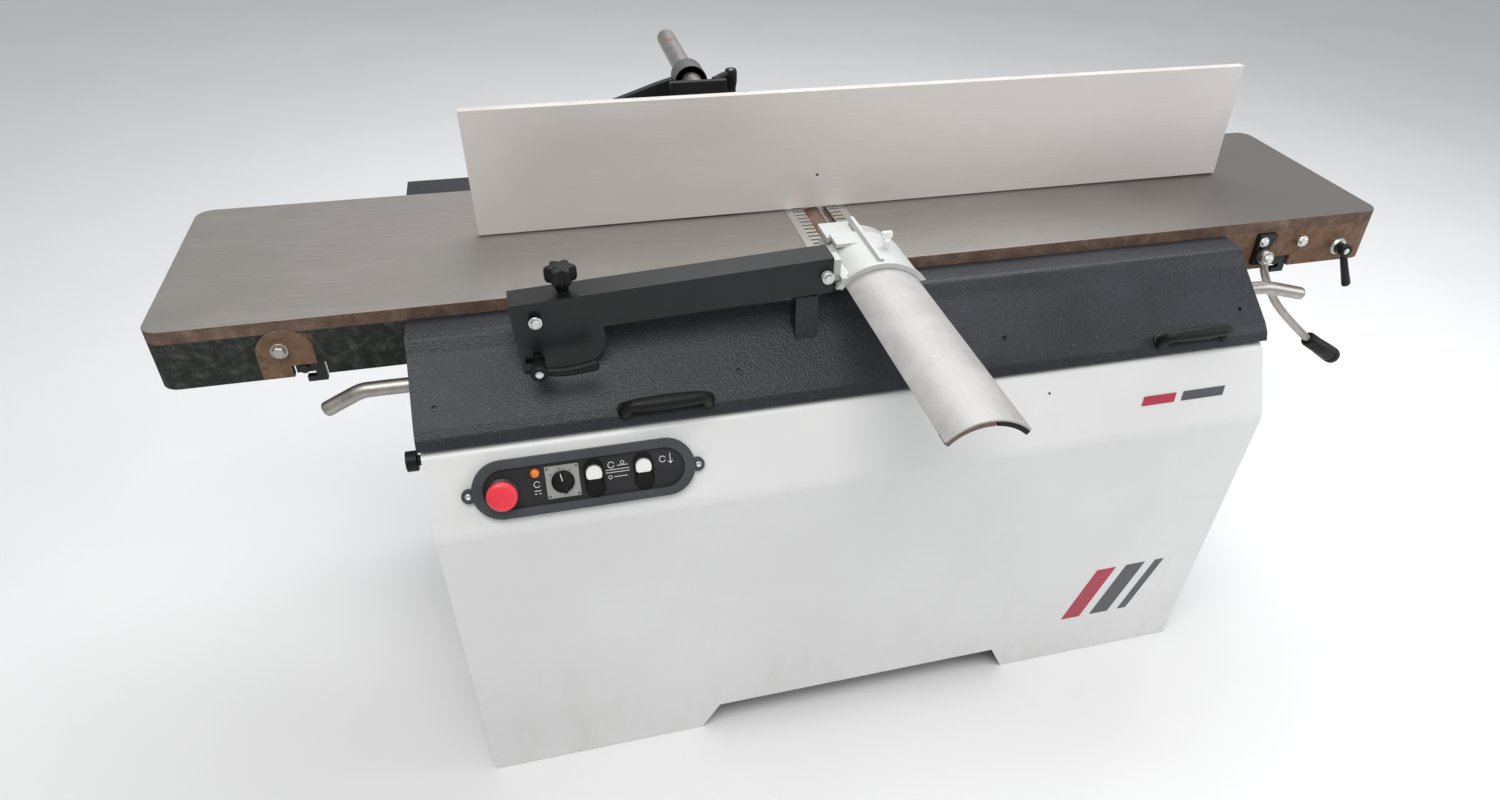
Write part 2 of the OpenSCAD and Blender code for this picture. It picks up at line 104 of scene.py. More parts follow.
def smooth(nt, v, lo, hi):
    m = nt.nodes.new("ShaderNodeMapRange"); m.interpolation_type = "SMOOTHSTEP"
    nt.links.new(v, m.inputs[0]); m.inputs[1].default_value = lo; m.inputs[2].default_value = hi
    return m.outputs[0]
def lk(nt, a, b): nt.links.new(a, b)

def plastic(name, c, rough=0.45, var=0.25, grain=900, bs=0.12, coat=0.0, spec=0.5):
    m, nt, b = new_mat(name); v = coord(nt)
    n1 = noise(nt, v, 14, 5); n2 = noise(nt, v, grain, 2)
    d = [x * (1 - var) for x in c]; l = [min(1, x * (1 + var)) for x in c]
    lk(nt, ramp(nt, n1, [(0.3, d), (0.7, l)]), b.inputs["Base Color"])
    lk(nt, gray(nt, n1, [(0.3, rough - 0.08), (0.7, rough + 0.1)]), b.inputs["Roughness"])
    b.inputs["Coat Weight"].default_value = coat; b.inputs["Specular IOR Level"].default_value = spec
    bump(nt, b, n2, bs, 0.0004); return m
def metal(name, c, rough=0.35, aniso=(1, 1, 1), var=0.15, streak=60, rust=None, rust_amt=0.5, bs=0.05, metallic=1.0):
    m, nt, b = new_mat(name); v = coord(nt, aniso); w = coord(nt)
    n1 = noise(nt, v, streak, 6, 0.65); n2 = noise(nt, w, 9, 6, 0.6)
    d = [x * (1 - var) for x in c]; l = [min(1, x * (1 + var)) for x in c]
    col = ramp(nt, n1, [(0.3, d), (0.7, l)])
    if rust:
        f = smooth(nt, n2, rust_amt, rust_amt + 0.16)
        col = mix(nt, f, col, rust)
        lk(nt, math_(nt, "SUBTRACT", metallic, math_(nt, "MULTIPLY", f, 0.7)), b.inputs["Metallic"])
    else: b.inputs["Metallic"].default_value = metallic
    lk(nt, col, b.inputs["Base Color"])
    r = math_(nt, "ADD", math_(nt, "MULTIPLY", n1, 0.14), math_(nt, "MULTIPLY", n2, 0.16))
    lk(nt, math_(nt, "ADD", r, rough - 0.15), b.inputs["Roughness"])
    bump(nt, b, n1, bs, 0.0004); return m

M = {}
# cabinet enamel: soft white with faint painted shade towards the floor and orange-peel texture
m, nt, b = new_mat("white_paint"); v = coord(nt)
n1 = noise(nt, v, 2.2, 5, 0.6); n2 = noise(nt, v, 220, 2)
sc = coord(nt, (1, 1, 0.22)); n3 = noise(nt, sc, 16, 6, 0.7)
base = ramp(nt, n1, [(0.3, (0.67, 0.67, 0.665)), (0.72, (0.76, 0.76, 0.755))])
z = xyz(nt, v)[2]
# painted shade: the colour darkens in noisy streaks below 0.35 m, towards the floor
floor_shade_mask = math_(nt, "MULTIPLY", math_(nt, "SUBTRACT", 1.0, smooth(nt, z, 0.0, 0.35)), smooth(nt, n3, 0.45, 0.75))
base = mix(nt, math_(nt, "MULTIPLY", floor_shade_mask, 0.28), base, (0.50, 0.48, 0.45))
sp = noise(nt, v, 46, 8, 0.8); spot = smooth(nt, sp, 0.735, 0.76)
base = mix(nt, math_(nt, "MULTIPLY", spot, 0.55), base, (0.42, 0.40, 0.38))
lk(nt, base, b.inputs["Base Color"])
lk(nt, gray(nt, n1, [(0.3, 0.30), (0.7, 0.42)]), b.inputs["Roughness"])
b.inputs["Coat Weight"].default_value = 0.15; bump(nt, b, n2, 0.06, 0.0004); M["white_paint"] = m
# hammered anthracite paint: dark blue-grey with fine pale flecks, the metal flakes with their glints painted in
m, nt, b = new_mat("anthracite_paint"); v = coord(nt)
vo = nd(nt, "ShaderNodeTexVoronoi"); vo.inputs["Scale"].default_value = 270; lk(nt, v, vo.inputs["Vector"])
n1 = noise(nt, v, 430, 3, 0.7); n2 = noise(nt, v, 5, 5)
base = ramp(nt, n2, [(0.3, (0.012, 0.014, 0.018)), (0.7, (0.020, 0.023, 0.029))])
# painted highlight: pale flecks mixed into the colour stand for the metal flakes and their glints
flake_glint_mask = smooth(nt, n1, 0.60, 0.72)
base = mix(nt, math_(nt, "MULTIPLY", flake_glint_mask, 0.42), base, (0.24, 0.26, 0.30))
lk(nt, base, b.inputs["Base Color"])
lk(nt, gray(nt, n2, [(0.3, 0.36), (0.7, 0.5)]), b.inputs["Roughness"])
b.inputs["Metallic"].default_value = 0.10; b.inputs["Specular IOR Level"].default_value = 0.42
h = math_(nt, "ADD", vo.outputs["Distance"], math_(nt, "MULTIPLY", n1, 0.6))
bump(nt, b, h, 0.6, 0.0008); M["anthracite_paint"] = m
# black paint on the arm and brackets, with pale scratches
m, nt, b = new_mat("black_paint"); v = coord(nt)
n1 = noise(nt, v, 7, 5); n2 = noise(nt, v, 500, 3)
base = ramp(nt, n1, [(0.3, (0.0060, 0.0068, 0.0072)), (0.7, (0.0120, 0.0132, 0.0140))])
s1 = coord(nt, (6, 1, 40)); n4 = noise(nt, s1, 5, 8, 0.8, 0.6); scr = smooth(nt, n4, 0.70, 0.74)
base = mix(nt, math_(nt, "MULTIPLY", scr, 0.5), base, (0.32, 0.32, 0.31))
lk(nt, base, b.inputs["Base Color"]); lk(nt, gray(nt, n1, [(0.3, 0.30), (0.7, 0.44)]), b.inputs["Roughness"])
b.inputs["Specular IOR Level"].default_value = 0.36; bump(nt, b, n2, 0.18, 0.0004); M["black_paint"] = m
# table casting: ground top with long grinding marks, brown machined edge strip, mottled green-grey paint and bare rust below
m, nt, b = new_mat("cast_table"); v = coord(nt); X, Y, Z = xyz(nt, v)
g1 = noise(nt, coord(nt, (1, 26, 1)), 20, 7, 0.7); g2 = noise(nt, v, 3.2, 6, 0.6); g3 = noise(nt, coord(nt, (0.5, 3, 1)), 4, 5, 0.6, 0.4)
top = ramp(nt, g1, [(0.25, (0.235, 0.215, 0.198)), (0.75, (0.325, 0.300, 0.280))])
top = mix(nt, math_(nt, "MULTIPLY", smooth(nt, g2, 0.42, 0.68), 0.38), top, (0.185, 0.178, 0.158))
top = mix(nt, math_(nt, "MULTIPLY", smooth(nt, g3, 0.55, 0.75), 0.35), top, (0.36, 0.335, 0.315))
top = mix(nt, math_(nt, "MULTIPLY", smooth(nt, X, 0.20, 0.85), 0.72), top, (0.085, 0.073, 0.066))
edge = ramp(nt, noise(nt, v, 38, 6, 0.7), [(0.3, (0.075, 0.046, 0.034)), (0.55, (0.15, 0.095, 0.070)), (0.75, (0.25, 0.175, 0.135))])
mo = noise(nt, v, 60, 8, 0.75, 0.3); mo2 = noise(nt, v, 11, 6, 0.65)
paint = ramp(nt, mo, [(0.32, (0.006, 0.007, 0.006)), (0.5, (0.022, 0.025, 0.021)), (0.68, (0.075, 0.082, 0.068))])
rust = ramp(nt, mo, [(0.3, (0.10, 0.055, 0.032)), (0.6, (0.20, 0.12, 0.075)), (0.8, (0.27, 0.18, 0.12))])
# the infeed skirt is mostly bare metal, the outfeed skirt painted
bare = math_(nt, "ADD", math_(nt, "MULTIPLY", smooth(nt, X, -0.2, 0.2), 0.34), mo2, clamp=True)
side = mix(nt, smooth(nt, bare, 0.62, 0.72), paint, rust)
lug = math_(nt, "MULTIPLY", math_(nt, "MULTIPLY", smooth(nt, Y, -0.1652, -0.1662), smooth(nt, X, -0.8430, -0.8445)), smooth(nt, X, -0.9255, -0.9240))
lug = math_(nt, "MULTIPLY", lug, smooth(nt, mo2, 0.30, 0.42)); side = mix(nt, lug, side, rust)
isz = smooth(nt, Z, 0.8630, 0.8652)
side = mix(nt, isz, side, edge)
ge = nt.nodes.new("ShaderNodeNewGeometry"); nz = xyz(nt, ge.outputs["True Normal"])[2]
up = math_(nt, "MULTIPLY", smooth(nt, nz, 0.75, 0.9), smooth(nt, Z, 0.8842, 0.8846))
col = mix(nt, up, side, top)
lk(nt, col, b.inputs["Base Color"])
lk(nt, math_(nt, "ADD", math_(nt, "MULTIPLY", up, 0.32), 0.10), b.inputs["Metallic"])
ru = math_(nt, "ADD", math_(nt, "MULTIPLY", g1, 0.22), math_(nt, "MULTIPLY", g2, 0.2))
rs = math_(nt, "SUBTRACT", 0.72, math_(nt, "MULTIPLY", up, 0.52))
lk(nt, math_(nt, "ADD", rs, ru), b.inputs["Roughness"])
hh = math_(nt, "ADD", math_(nt, "MULTIPLY", math_(nt, "SUBTRACT", 1.0, up), math_(nt, "ADD", mo, noise(nt, v, 160, 4))), math_(nt, "MULTIPLY", g1, 0.06))
bump(nt, b, hh, 0.55, 0.0012); M["cast_table"] = m
M["bed_steel"] = metal("bed_steel", (0.33, 0.31, 0.29), 0.36, (26, 1, 1), 0.2, 20, (0.16, 0.08, 0.04), 0.6)
M["grey_frame_paint"] = plastic("grey_frame_paint", (0.075, 0.082, 0.088), 0.5, 0.3, 300, 0.15)
M["lip_aluminium"] = metal("lip_aluminium", (0.66, 0.64, 0.61), 0.42, (1, 30, 1), 0.12, 24, bs=0.08)
# satin anodised fence: warm light grey, faint long extrusion lines
m, nt, b = new_mat("fence_aluminium"); v = coord(nt)
f1 = noise(nt, coord(nt, (0.6, 1, 60)), 30, 6, 0.6); f2 = noise(nt, v, 2.6, 5)
col = ramp(nt, f2, [(0.3, (0.66, 0.62, 0.59)), (0.7, (0.75, 0.71, 0.68))])
col = mix(nt, 0.22, col, ramp(nt, f1, [(0.3, (0.42, 0.40, 0.38)), (0.7, (0.68, 0.66, 0.63))]))
lk(nt, col, b.inputs["Base Color"]); b.inputs["Metallic"].default_value = 0.30
lk(nt, gray(nt, f1, [(0.3, 0.36), (0.7, 0.46)]), b.inputs["Roughness"]); bump(nt, b, f1, 0.04, 0.0003); M["fence_aluminium"] = m
# guard blade: pale satin aluminium with smudges and scuffs
m, nt, b = new_mat("guard_aluminium"); v = coord(nt)
f1 = noise(nt, coord(nt, (60, 1, 60)), 14, 6, 0.6); f2 = noise(nt, v, 16, 7, 0.7, 0.8); f3 = noise(nt, coord(nt, (1, 0.4, 1)), 26, 9, 0.8, 1.4)
col = ramp(nt, f2, [(0.3, (0.35, 0.343, 0.332)), (0.7, (0.465, 0.457, 0.443))])
col = mix(nt, math_(nt, "MULTIPLY", smooth(nt, f3, 0.66, 0.72), 0.5), col, (0.62, 0.61, 0.59))
col = mix(nt, 0.18, col, ramp(nt, f1, [(0.3, (0.42, 0.40, 0.38)), (0.7, (0.74, 0.73, 0.71))]))
lk(nt, col, b.inputs["Base Color"]); b.inputs["Metallic"].default_value = 0.35
lk(nt, gray(nt, f2, [(0.3, 0.44), (0.7, 0.60)]), b.inputs["Roughness"]); bump(nt, b, f2, 0.05, 0.0004); M["guard_aluminium"] = m
m, nt, b = new_mat("holder_cast"); v = coord(nt)
f1 = noise(nt, v, 240, 4, 0.7); f2 = noise(nt, v, 8, 5)
lk(nt, ramp(nt, f2, [(0.3, (0.46, 0.47, 0.46)), (0.7, (0.58, 0.59, 0.575))]), b.inputs["Base Color"])
b.inputs["Metallic"].default_value = 0.25; lk(nt, gray(nt, f2, [(0.3, 0.42), (0.7, 0.56)]), b.inputs["Roughness"])
bump(nt, b, f1, 0.22, 0.0005); M["holder_cast"] = m
M["bare_steel"] = metal("bare_steel", (0.40, 0.375, 0.35), 0.42, (1, 1, 1), 0.2, 45, (0.19, 0.11, 0.065), 0.56, 0.12)
M["block_steel"] = metal("block_steel", (0.33, 0.24, 0.19), 0.48, (1, 0.2, 1), 0.3, 30, (0.17, 0.085, 0.05), 0.46, 0.25)
M["knife_steel"] = metal("knife_steel", (0.72, 0.70, 0.68), 0.28, (1, 30, 1), 0.08, 30, bs=0.03)
M["screw_steel"] = metal("screw_steel", (0.66, 0.66, 0.66), 0.34, (1, 1, 1), 0.18, 120, (0.34, 0.29, 0.24), 0.62, 0.1)
M["galvanised"] = metal("galvanised", (0.52, 0.54, 0.56), 0.46, (1, 1, 1), 0.2, 24, bs=0.05)
M["motor_paint"] = plastic("motor_paint", (0.07, 0.12, 0.17), 0.42, 0.2, 300, 0.1)
M["black_plastic"] = plastic("black_plastic", (0.0060, 0.0060, 0.0064), 0.44, 0.35, 1100, 0.25, spec=0.24)
M["panel_grey_plastic"] = plastic("panel_grey_plastic", (0.050, 0.054, 0.060), 0.52, 0.16, 1300, 0.3, spec=0.4)
M["panel_dark"] = plastic("panel_dark", (0.020, 0.019, 0.021), 0.42, 0.3, 400, 0.1, spec=0.4)
M["white_plastic"] = plastic("white_plastic", (0.80, 0.80, 0.78), 0.32, 0.05, 700, 0.05, 0.2)
M["red_plastic"] = plastic("red_plastic", (0.78, 0.035, 0.055), 0.36, 0.10, 700, 0.08, 0.15)
M["amber_lens"] = plastic("amber_lens", (0.72, 0.20, 0.015), 0.25, 0.15, 500, 0.05, 0.4)
M["belt_rubber"] = plastic("belt_rubber", (0.018, 0.018, 0.018), 0.7, 0.3, 500, 0.3)
M["plate_grey"] = metal("plate_grey", (0.44, 0.44, 0.43), 0.42, (20, 1, 1), 0.1, 40, bs=0.05, metallic=0.7)
M["print_white"] = plastic("print_white", (0.70, 0.70, 0.69), 0.5, 0.08, 600, 0.02)
M["print_red"] = plastic("print_red", (0.40, 0.03, 0.06), 0.4, 0.1, 600, 0.02)
M["print_grey"] = plastic("print_grey", (0.075, 0.078, 0.083), 0.4, 0.12, 600, 0.02)
# wood_pad: a brownish, streaked colour for the left part of the guard's end plug
m, nt, b = new_mat("wood_pad"); v = coord(nt); f1 = noise(nt, coord(nt, (3, 1, 20)), 30, 5, 0.6)
lk(nt, ramp(nt, f1, [(0.3, (0.10, 0.060, 0.052)), (0.7, (0.21, 0.14, 0.125))]), b.inputs["Base Color"]); lk(nt, gray(nt, f1, [(0.3, 0.55), (0.7, 0.72)]), b.inputs["Roughness"]); bump(nt, b, f1, 0.2, 0.0004); M["wood_pad"] = m
m, nt, b = new_mat("ring_paint"); v = coord(nt); f1 = noise(nt, v, 26, 6, 0.65)
lk(nt, ramp(nt, f1, [(0.3, (0.060, 0.064, 0.060)), (0.7, (0.125, 0.128, 0.120))]), b.inputs["Base Color"]); lk(nt, gray(nt, f1, [(0.3, 0.40), (0.7, 0.55)]), b.inputs["Roughness"]); bump(nt, b, noise(nt, v, 300, 3), 0.25, 0.0006); M["ring_paint"] = m
M["paper"] = plastic("paper", (0.74, 0.73, 0.71), 0.7, 0.05, 500, 0.1)

SLOT = {s["node"]: s["material_slot"] for s in frame["record"]["subparts"]}
EXTRA = {"thickness_table": "bed_steel", "guard_holder": "holder_cast"}
def paint(o, name):
    o.data.materials.clear(); o.data.materials.append(M[name])
for n, o in N.items():
    paint(o, EXTRA.get(n, SLOT[n]))

# ------------------------------------------------------------------ geometry helpers (metres, row frame)
BODY = {n: o["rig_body"] for n, o in N.items()}
def link(me, name, mat, body, smooth_all=True):
    o = bpy.data.objects.new(name, me); bpy.context.scene.collection.objects.link(o)
    me.materials.append(M[mat])
    if smooth_all:
        for p in me.polygons: p.use_smooth = True
    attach(o, body); return o
def from_bm(bm, name, mat, body, smooth_all=True):
    bmesh.ops.recalc_face_normals(bm, faces=bm.faces)
    me = bpy.data.meshes.new(name); bm.to_mesh(me); bm.free()
    return link(me, name, mat, body, smooth_all)
def bevel_mod(o, w, seg=3, ang=32):
    m = o.modifiers.new("bevel", "BEVEL"); m.width = w; m.segments = seg; m.limit_method = "ANGLE"
    m.angle_limit = math.radians(ang); m.harden_normals = True; m.miter_outer = "MITER_ARC"; return m
def refine(node, w=0.0012, seg=2, name=None, mat=None, ang=32, mod=None, wide=None):
    """the CAD node's own shape as a new piece, with coplanar faces joined and its edges rounded.
    wide = (width, segments, test of an edge): bends that get a larger radius first"""
    src = N[node]; bm = bmesh.new(); bm.from_mesh(src.data)
    bmesh.ops.remove_doubles(bm, verts=bm.verts, dist=2e-6)
    if mod: mod(bm)
    bmesh.ops.dissolve_limit(bm, angle_limit=math.radians(0.5), verts=bm.verts, edges=bm.edges)
    if wide:
        L = bm.edges.layers.float.get("bevel_weight_edge") or bm.edges.layers.float.new("bevel_weight_edge")
        for e in bm.edges: e[L] = 1.0 if len(e.link_faces) == 2 and wide[2](e) else 0.0
    o = from_bm(bm, name or node + ".shape", mat or EXTRA.get(node, SLOT[node]), BODY[node])
    for p in o.data.polygons: p.use_smooth = True
    if wide:
        m = o.modifiers.new("bend", "BEVEL"); m.width = wide[0]; m.segments = wide[1]; m.limit_method = "WEIGHT"; m.use_clamp_overlap = False
    bevel_mod(o, w, seg, ang)
    wn = o.modifiers.new("wn", "WEIGHTED_NORMAL"); wn.keep_sharp = False; wn.weight = 80
    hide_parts(node); return o
def lathe(bm, prof, origin, axis, seg=40):
    """closed solid of revolution: prof is [(r, along axis)] in metres"""
    a = Vector(axis).normalized(); u = a.orthogonal().normalized(); w = a.cross(u); O = Vector(origin)
    rings = []
    for r, h in prof:
        if r < 1e-6: rings.append([bm.verts.new(O + a * h)])
        else: rings.append([bm.verts.new(O + a * h + (u * math.cos(t) + w * math.sin(t)) * r)
                            for t in (2 * math.pi * i / seg for i in range(seg))])
    for p, q in zip(rings, rings[1:]):
        for i in range(seg):
            j = (i + 1) % seg
            if len(p) == 1 and len(q) == 1: continue
            if len(p) == 1: bm.faces.new((p[0], q[i], q[j]))
            elif len(q) == 1: bm.faces.new((p[i], q[0], p[j]))
            else: bm.faces.new((p[i], q[i], q[j], p[j]))
    for ring in (rings[0], rings[-1]):
        if len(ring) > 1: bm.faces.new(ring)
def smooth_path(pts, per=8):
    """Catmull-Rom through the points"""
    P = [Vector(p) for p in pts]; P = [2 * P[0] - P[1]] + P + [2 * P[-1] - P[-2]]; out = []
    for i in range(1, len(P) - 2):
        for k in range(per):
            t = k / per; a, b, c, d = P[i - 1:i + 3]
            out.append(0.5 * ((2 * b) + (c - a) * t + (2 * a - 5 * b + 4 * c - d) * t * t + (3 * b - a - 3 * c + d) * t ** 3))
    out.append(P[-2]); return out
def tube(bm, pts, rad, seg=20, ell=None, cap=True):
    """tube along points; rad is a number or a list; ell = (axis vector, factor) squashes the section"""
    n = len(pts); R = rad if isinstance(rad, (list, tuple)) else [rad] * n
    T = [(pts[min(i + 1, n - 1)] - pts[max(i - 1, 0)]).normalized() for i in range(n)]
    u = T[0].orthogonal().normalized() if ell is None else (Vector(ell[0]) - T[0] * T[0].dot(Vector(ell[0]))).normalized()
    rings = []
    for i in range(n):
        u = (u - T[i] * T[i].dot(u)).normalized(); w = T[i].cross(u); f = 1 if ell is None else ell[1]
        rings.append([bm.verts.new(pts[i] + u * math.cos(t) * R[i] * f + w * math.sin(t) * R[i])
                      for t in (2 * math.pi * k / seg for k in range(seg))])
    for p, q in zip(rings, rings[1:]):
        for k in range(seg): bm.faces.new((p[k], q[k], q[(k + 1) % seg], p[(k + 1) % seg]))
    if cap:
        for ring, s, t in ((rings[0], -1, T[0]), (rings[-1], 1, T[-1])):
            prev = ring; c = sum((v.co for v in ring), Vector()) / seg; r0 = R[0] if s < 0 else R[-1]
            for k in (1, 2, 3):
                a = k / 4 * math.pi / 2
                new = [bm.verts.new(c + (v.co - c) * math.cos(a) + t * s * r0 * 0.55 * math.sin(a)) for v in ring]
                for i in range(seg): bm.faces.new((prev[i], prev[(i + 1) % seg], new[(i + 1) % seg], new[i]))
                prev = new
            tip = bm.verts.new(c + t * s * r0 * 0.55)
            for i in range(seg): bm.faces.new((prev[i], prev[(i + 1) % seg], tip))
def hexhead(bm, c, axis, af=0.0065, h=0.005, washer=0.010, wh=0.0016, lobes=6):
    """washer and hexagon head with a chamfered crown"""
    a = Vector(axis).normalized(); c = Vector(c)
    lathe(bm, [(0, 0), (washer, 0), (washer, wh * 0.7), (washer - 0.0004, wh), (0, wh)], c, a, 32)
    r = af / math.cos(math.pi / 6)
    u = a.orthogonal().normalized(); w = a.cross(u); ring = []
    for hh, k in ((wh, 1), (wh + h * 0.82, 1), (wh + h, 0.86)):
        ring.append([bm.verts.new(c + a * hh + (u * math.cos(t) + w * math.sin(t)) * r * k) for t in (math.pi / 3 * i for i in range(6))])
    for p, q in zip(ring, ring[1:]):
        for i in range(6): bm.faces.new((p[i], p[(i + 1) % 6], q[(i + 1) % 6], q[i]))
    bm.faces.new(ring[-1]); bm.faces.new(list(reversed(ring[0])))
def sweep_x(bm, prof, x0, x1, closed=True):
    """profile [(y, z)] carried along X, with end caps when closed"""
    a = [bm.verts.new((x0, y, z)) for y, z in prof]; b = [bm.verts.new((x1, y, z)) for y, z in prof]
    n = len(prof)
    for i in range(n if closed else n - 1): bm.faces.new((a[i], a[(i + 1) % n], b[(i + 1) % n], b[i]))
    if closed: bm.faces.new(list(reversed(a))); bm.faces.new(b)
def fillet(pts, radii, seg=8):
    """rounds the corners of a 2D outline; radii is one number per point (0 keeps it sharp)"""
    out = []; n = len(pts)
    for i, p in enumerate(pts):
        r = radii[i]
        if r <= 0: out.append(tuple(p)); continue
        a, b, c = Vector(pts[i - 1]), Vector(p), Vector(pts[(i + 1) % n])
        d1, d2 = (a - b).normalized(), (c - b).normalized(); ang = d1.angle(d2)
        t = min(r / math.tan(ang / 2), 0.48 * (a - b).length, 0.48 * (c - b).length); rr = t * math.tan(ang / 2)
        cen = b + (d1 + d2).normalized() * (rr / math.sin(ang / 2))
        s, e = b + d1 * t - cen, b + d2 * t - cen
        for k in range(seg + 1):
            f = k / seg; A = s.angle(e); q = (s * math.sin((1 - f) * A) + e * math.sin(f * A)) / math.sin(A) + cen
            out.append((q.x, q.y))
    return out
def mm(*p): return tuple(x * 0.001 for x in p)

def is_bend(e, lo=8, hi=62, axis=0, minlen=0.35):
    d = e.verts[1].co - e.verts[0].co
    return d.length > minlen and abs(d[axis]) > 0.99 * d.length and lo < math.degrees(e.calc_face_angle(0)) < hi

# ------------------------------------------------------------------ cabinet, covers, castings
refine("cabinet_front", 0.0008, 2, wide=(0.009, 5, lambda e: is_bend(e, 8, 75)))
for n in ("cabinet_rear", "cabinet_end_left", "cabinet_end_right", "base_frame"): refine(n, 0.0007, 2)
# front cover: one rolled sheet, its flanges, end plates, rest block and lever sleeves
def bx(bm, lo, hi):
    v = [bm.verts.new(mm(x, y, z)) for x in (lo[0], hi[0]) for y in (lo[1], hi[1]) for z in (lo[2], hi[2])]
    for f in ((0, 1, 3, 2), (4, 6, 7, 5), (0, 4, 5, 1), (2, 3, 7, 6), (0, 2, 6, 4), (1, 5, 7, 3)): bm.faces.new([v[i] for i in f])
def offset_in(P, t):
    out = []
    for i, p in enumerate(P):
        a, c = Vector(P[max(i - 1, 0)]), Vector(P[min(i + 1, len(P) - 1)]); d = (c - a).normalized(); out.append((p[0] - d.y * t, p[1] + d.x * t))
    return out
cov = [(-168, 865), (-221, 865), (-240, 842), (-282, 811), (-331, 775), (-342, 763), (-348, 748)]
C = fillet([(-120, 865)] + cov[1:] + [(-352, 738)], [0, 17, 34, 90, 20, 14, 0, 0], 8)
C = [(-168, 865)] + [c for c in C if -352 < c[0] < -168.5 and c[1] >= 747.9 and c != (-348, 748)] + [(-348, 748)]
Cin = offset_in(C, 2.5)
if Cin[3][1] > C[3][1] or Cin[len(Cin) // 2][1] > C[len(C) // 2][1]: Cin = offset_in(C, -2.5)
bm = bmesh.new(); sweep_x(bm, [mm(*p) for p in C] + [mm(*p) for p in reversed(Cin)], -0.708, 0.725)
cover = from_bm(bm, "front_cover.shape", "anthracite_paint", BODY["front_cover"], False)
bm = bmesh.new()
for x in (-676, -224, 228, 683): lathe(bm, [(0, -0.02), (0.004, -0.02), (0.004, 0.02), (0, 0.02)], mm(x, -306, 793.5), (0, -0.588, 0.809), 28)
bmesh.ops.recalc_face_normals(bm, faces=bm.faces); me = bpy.data.meshes.new("cut"); bm.to_mesh(me); bm.free()
cut = bpy.data.objects.new("cut", me); bpy.context.scene.collection.objects.link(cut)
mo_ = cover.modifiers.new("holes", "BOOLEAN"); mo_.object = cut; mo_.solver = "EXACT"
bpy.context.view_layer.update(); me2 = bpy.data.meshes.new_from_object(cover.evaluated_get(bpy.context.evaluated_depsgraph_get()))
cover.modifiers.clear(); cover.data = me2; bpy.data.objects.remove(cut)
for p in cover.data.polygons: p.use_smooth = True
bevel_mod(cover, 0.0005, 2, 40); wn = cover.modifiers.new("wn", "WEIGHTED_NORMAL"); wn.weight = 80
bm = bmesh.new()
bx(bm, (-707.9, -168, 835), (-60, -165, 864.5)); bx(bm, (-60, -170.5, 835), (-18, -168, 864.5)); bx(bm, (18, -170.5, 835), (724.9, -168, 864.5)); bx(bm, (-18, -170.5, 856), (18, -168, 864.5))
bx(bm, (-125, -273, 816), (-89, -244, 893)); bx(bm, (-705.4, -223, 756), (-673, -187, 792)); bx(bm, (690, -243, 763), (722.4, -207, 799))
endp = [mm(*p) for p in Cin] + [mm(-200, 748), mm(-168, 760)]
sweep_x(bm, endp, -0.7078, -0.7055); sweep_x(bm, endp, 0.7225, 0.7248)
o = from_bm(bm, "front_cover_flanges", "anthracite_paint", BODY["front_cover"], False); bevel_mod(o, 0.0009, 2)
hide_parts("front_cover")
bm = bmesh.new()
for x in (-676, -224, 228, 683): lathe(bm, [(0, -0.0075), (0.0075, -0.0075), (0.0075, -0.0035), (0.0050, -0.0030), (0, -0.0048)], mm(x, -306, 793.5), (0, -0.588, 0.809), 24)
from_bm(bm, "cover_hole_nuts", "panel_dark", BODY["front_cover"])
refine("rear_beam", 0.0009, 2)
for n in ("table_outfeed", "table_infeed"): refine(n, 0.0014, 2)
for n in ("lip_outfeed", "lip_infeed"): refine(n, 0.0004, 2)
refine("fence_plate", 0.0007, 2)
refine("fence_bracket", 0.0018, 3)
refine("fence_carrier", 0.0030, 3)
refine("guard_arm", 0.0014, 3)
refine("guard_bracket", 0.0010, 2)
refine("guard_blade", 0.0009, 2)
refine("guard_holder", 0.0012, 3)
refine("control_surround", 0.0022, 4)
refine("control_plate", 0.0006, 2)
refine("thickness_table", 0.0012, 2)
refine("hinge_blocks", 0.0012, 2)
refine("chip_hood", 0.0006, 2)
refine("cheek_front", 0.0010, 2); refine("cheek_rear", 0.0010, 2)
refine("latch_hook_outfeed", 0.0015, 3); refine("latch_hook_infeed", 0.0015, 3)
for n in ("cutterblock", "feed_roller_infeed", "feed_roller_outfeed", "cutter_pulley", "motor_pulley", "motor_body",
          "lift_column", "cutter_bearings", "cable_gland", "side_knob", "fence_bar"): refine(n, 0.0008, 2)
for n in ("white_button_left", "black_button_left", "white_button_right", "black_button_right"): refine(n, 0.0020, 4)

# bent steel bars
def bars(node, pts, r, mat, per=8, ell=None, name=None):
    bm = bmesh.new(); P = smooth_path([mm(*p) for p in pts], per); tube(bm, P, r * MM if not isinstance(r, list) else r, 24, ell)
    o = from_bm(bm, name or node + ".shape", mat, BODY[node]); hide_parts(node); return o
bars("lock_bar_left", [(-677, -205, 774), (-730, -205, 774), (-768, -205, 774), (-788, -205, 772.5), (-812, -205, 762), (-841, -205, 748)], 12, "bare_steel")
bars("lock_bar_right", [(697, -225, 781), (750, -225, 781), (790, -225, 780.5), (812, -225, 777.5), (850, -225, 767.5), (884, -225, 758)], 12, "bare_steel")
bm = bmesh.new()
tube(bm, smooth_path([mm(*p) for p in [(812, -187, 822), (816.5, -187, 802), (830, -187, 776), (852, -187, 745), (874, -187, 718), (902, -187, 690.5),
     (940, -187, 657.5), (979, -187, 626), (1010, -187, 605)]], 8), 0.0075, 20)
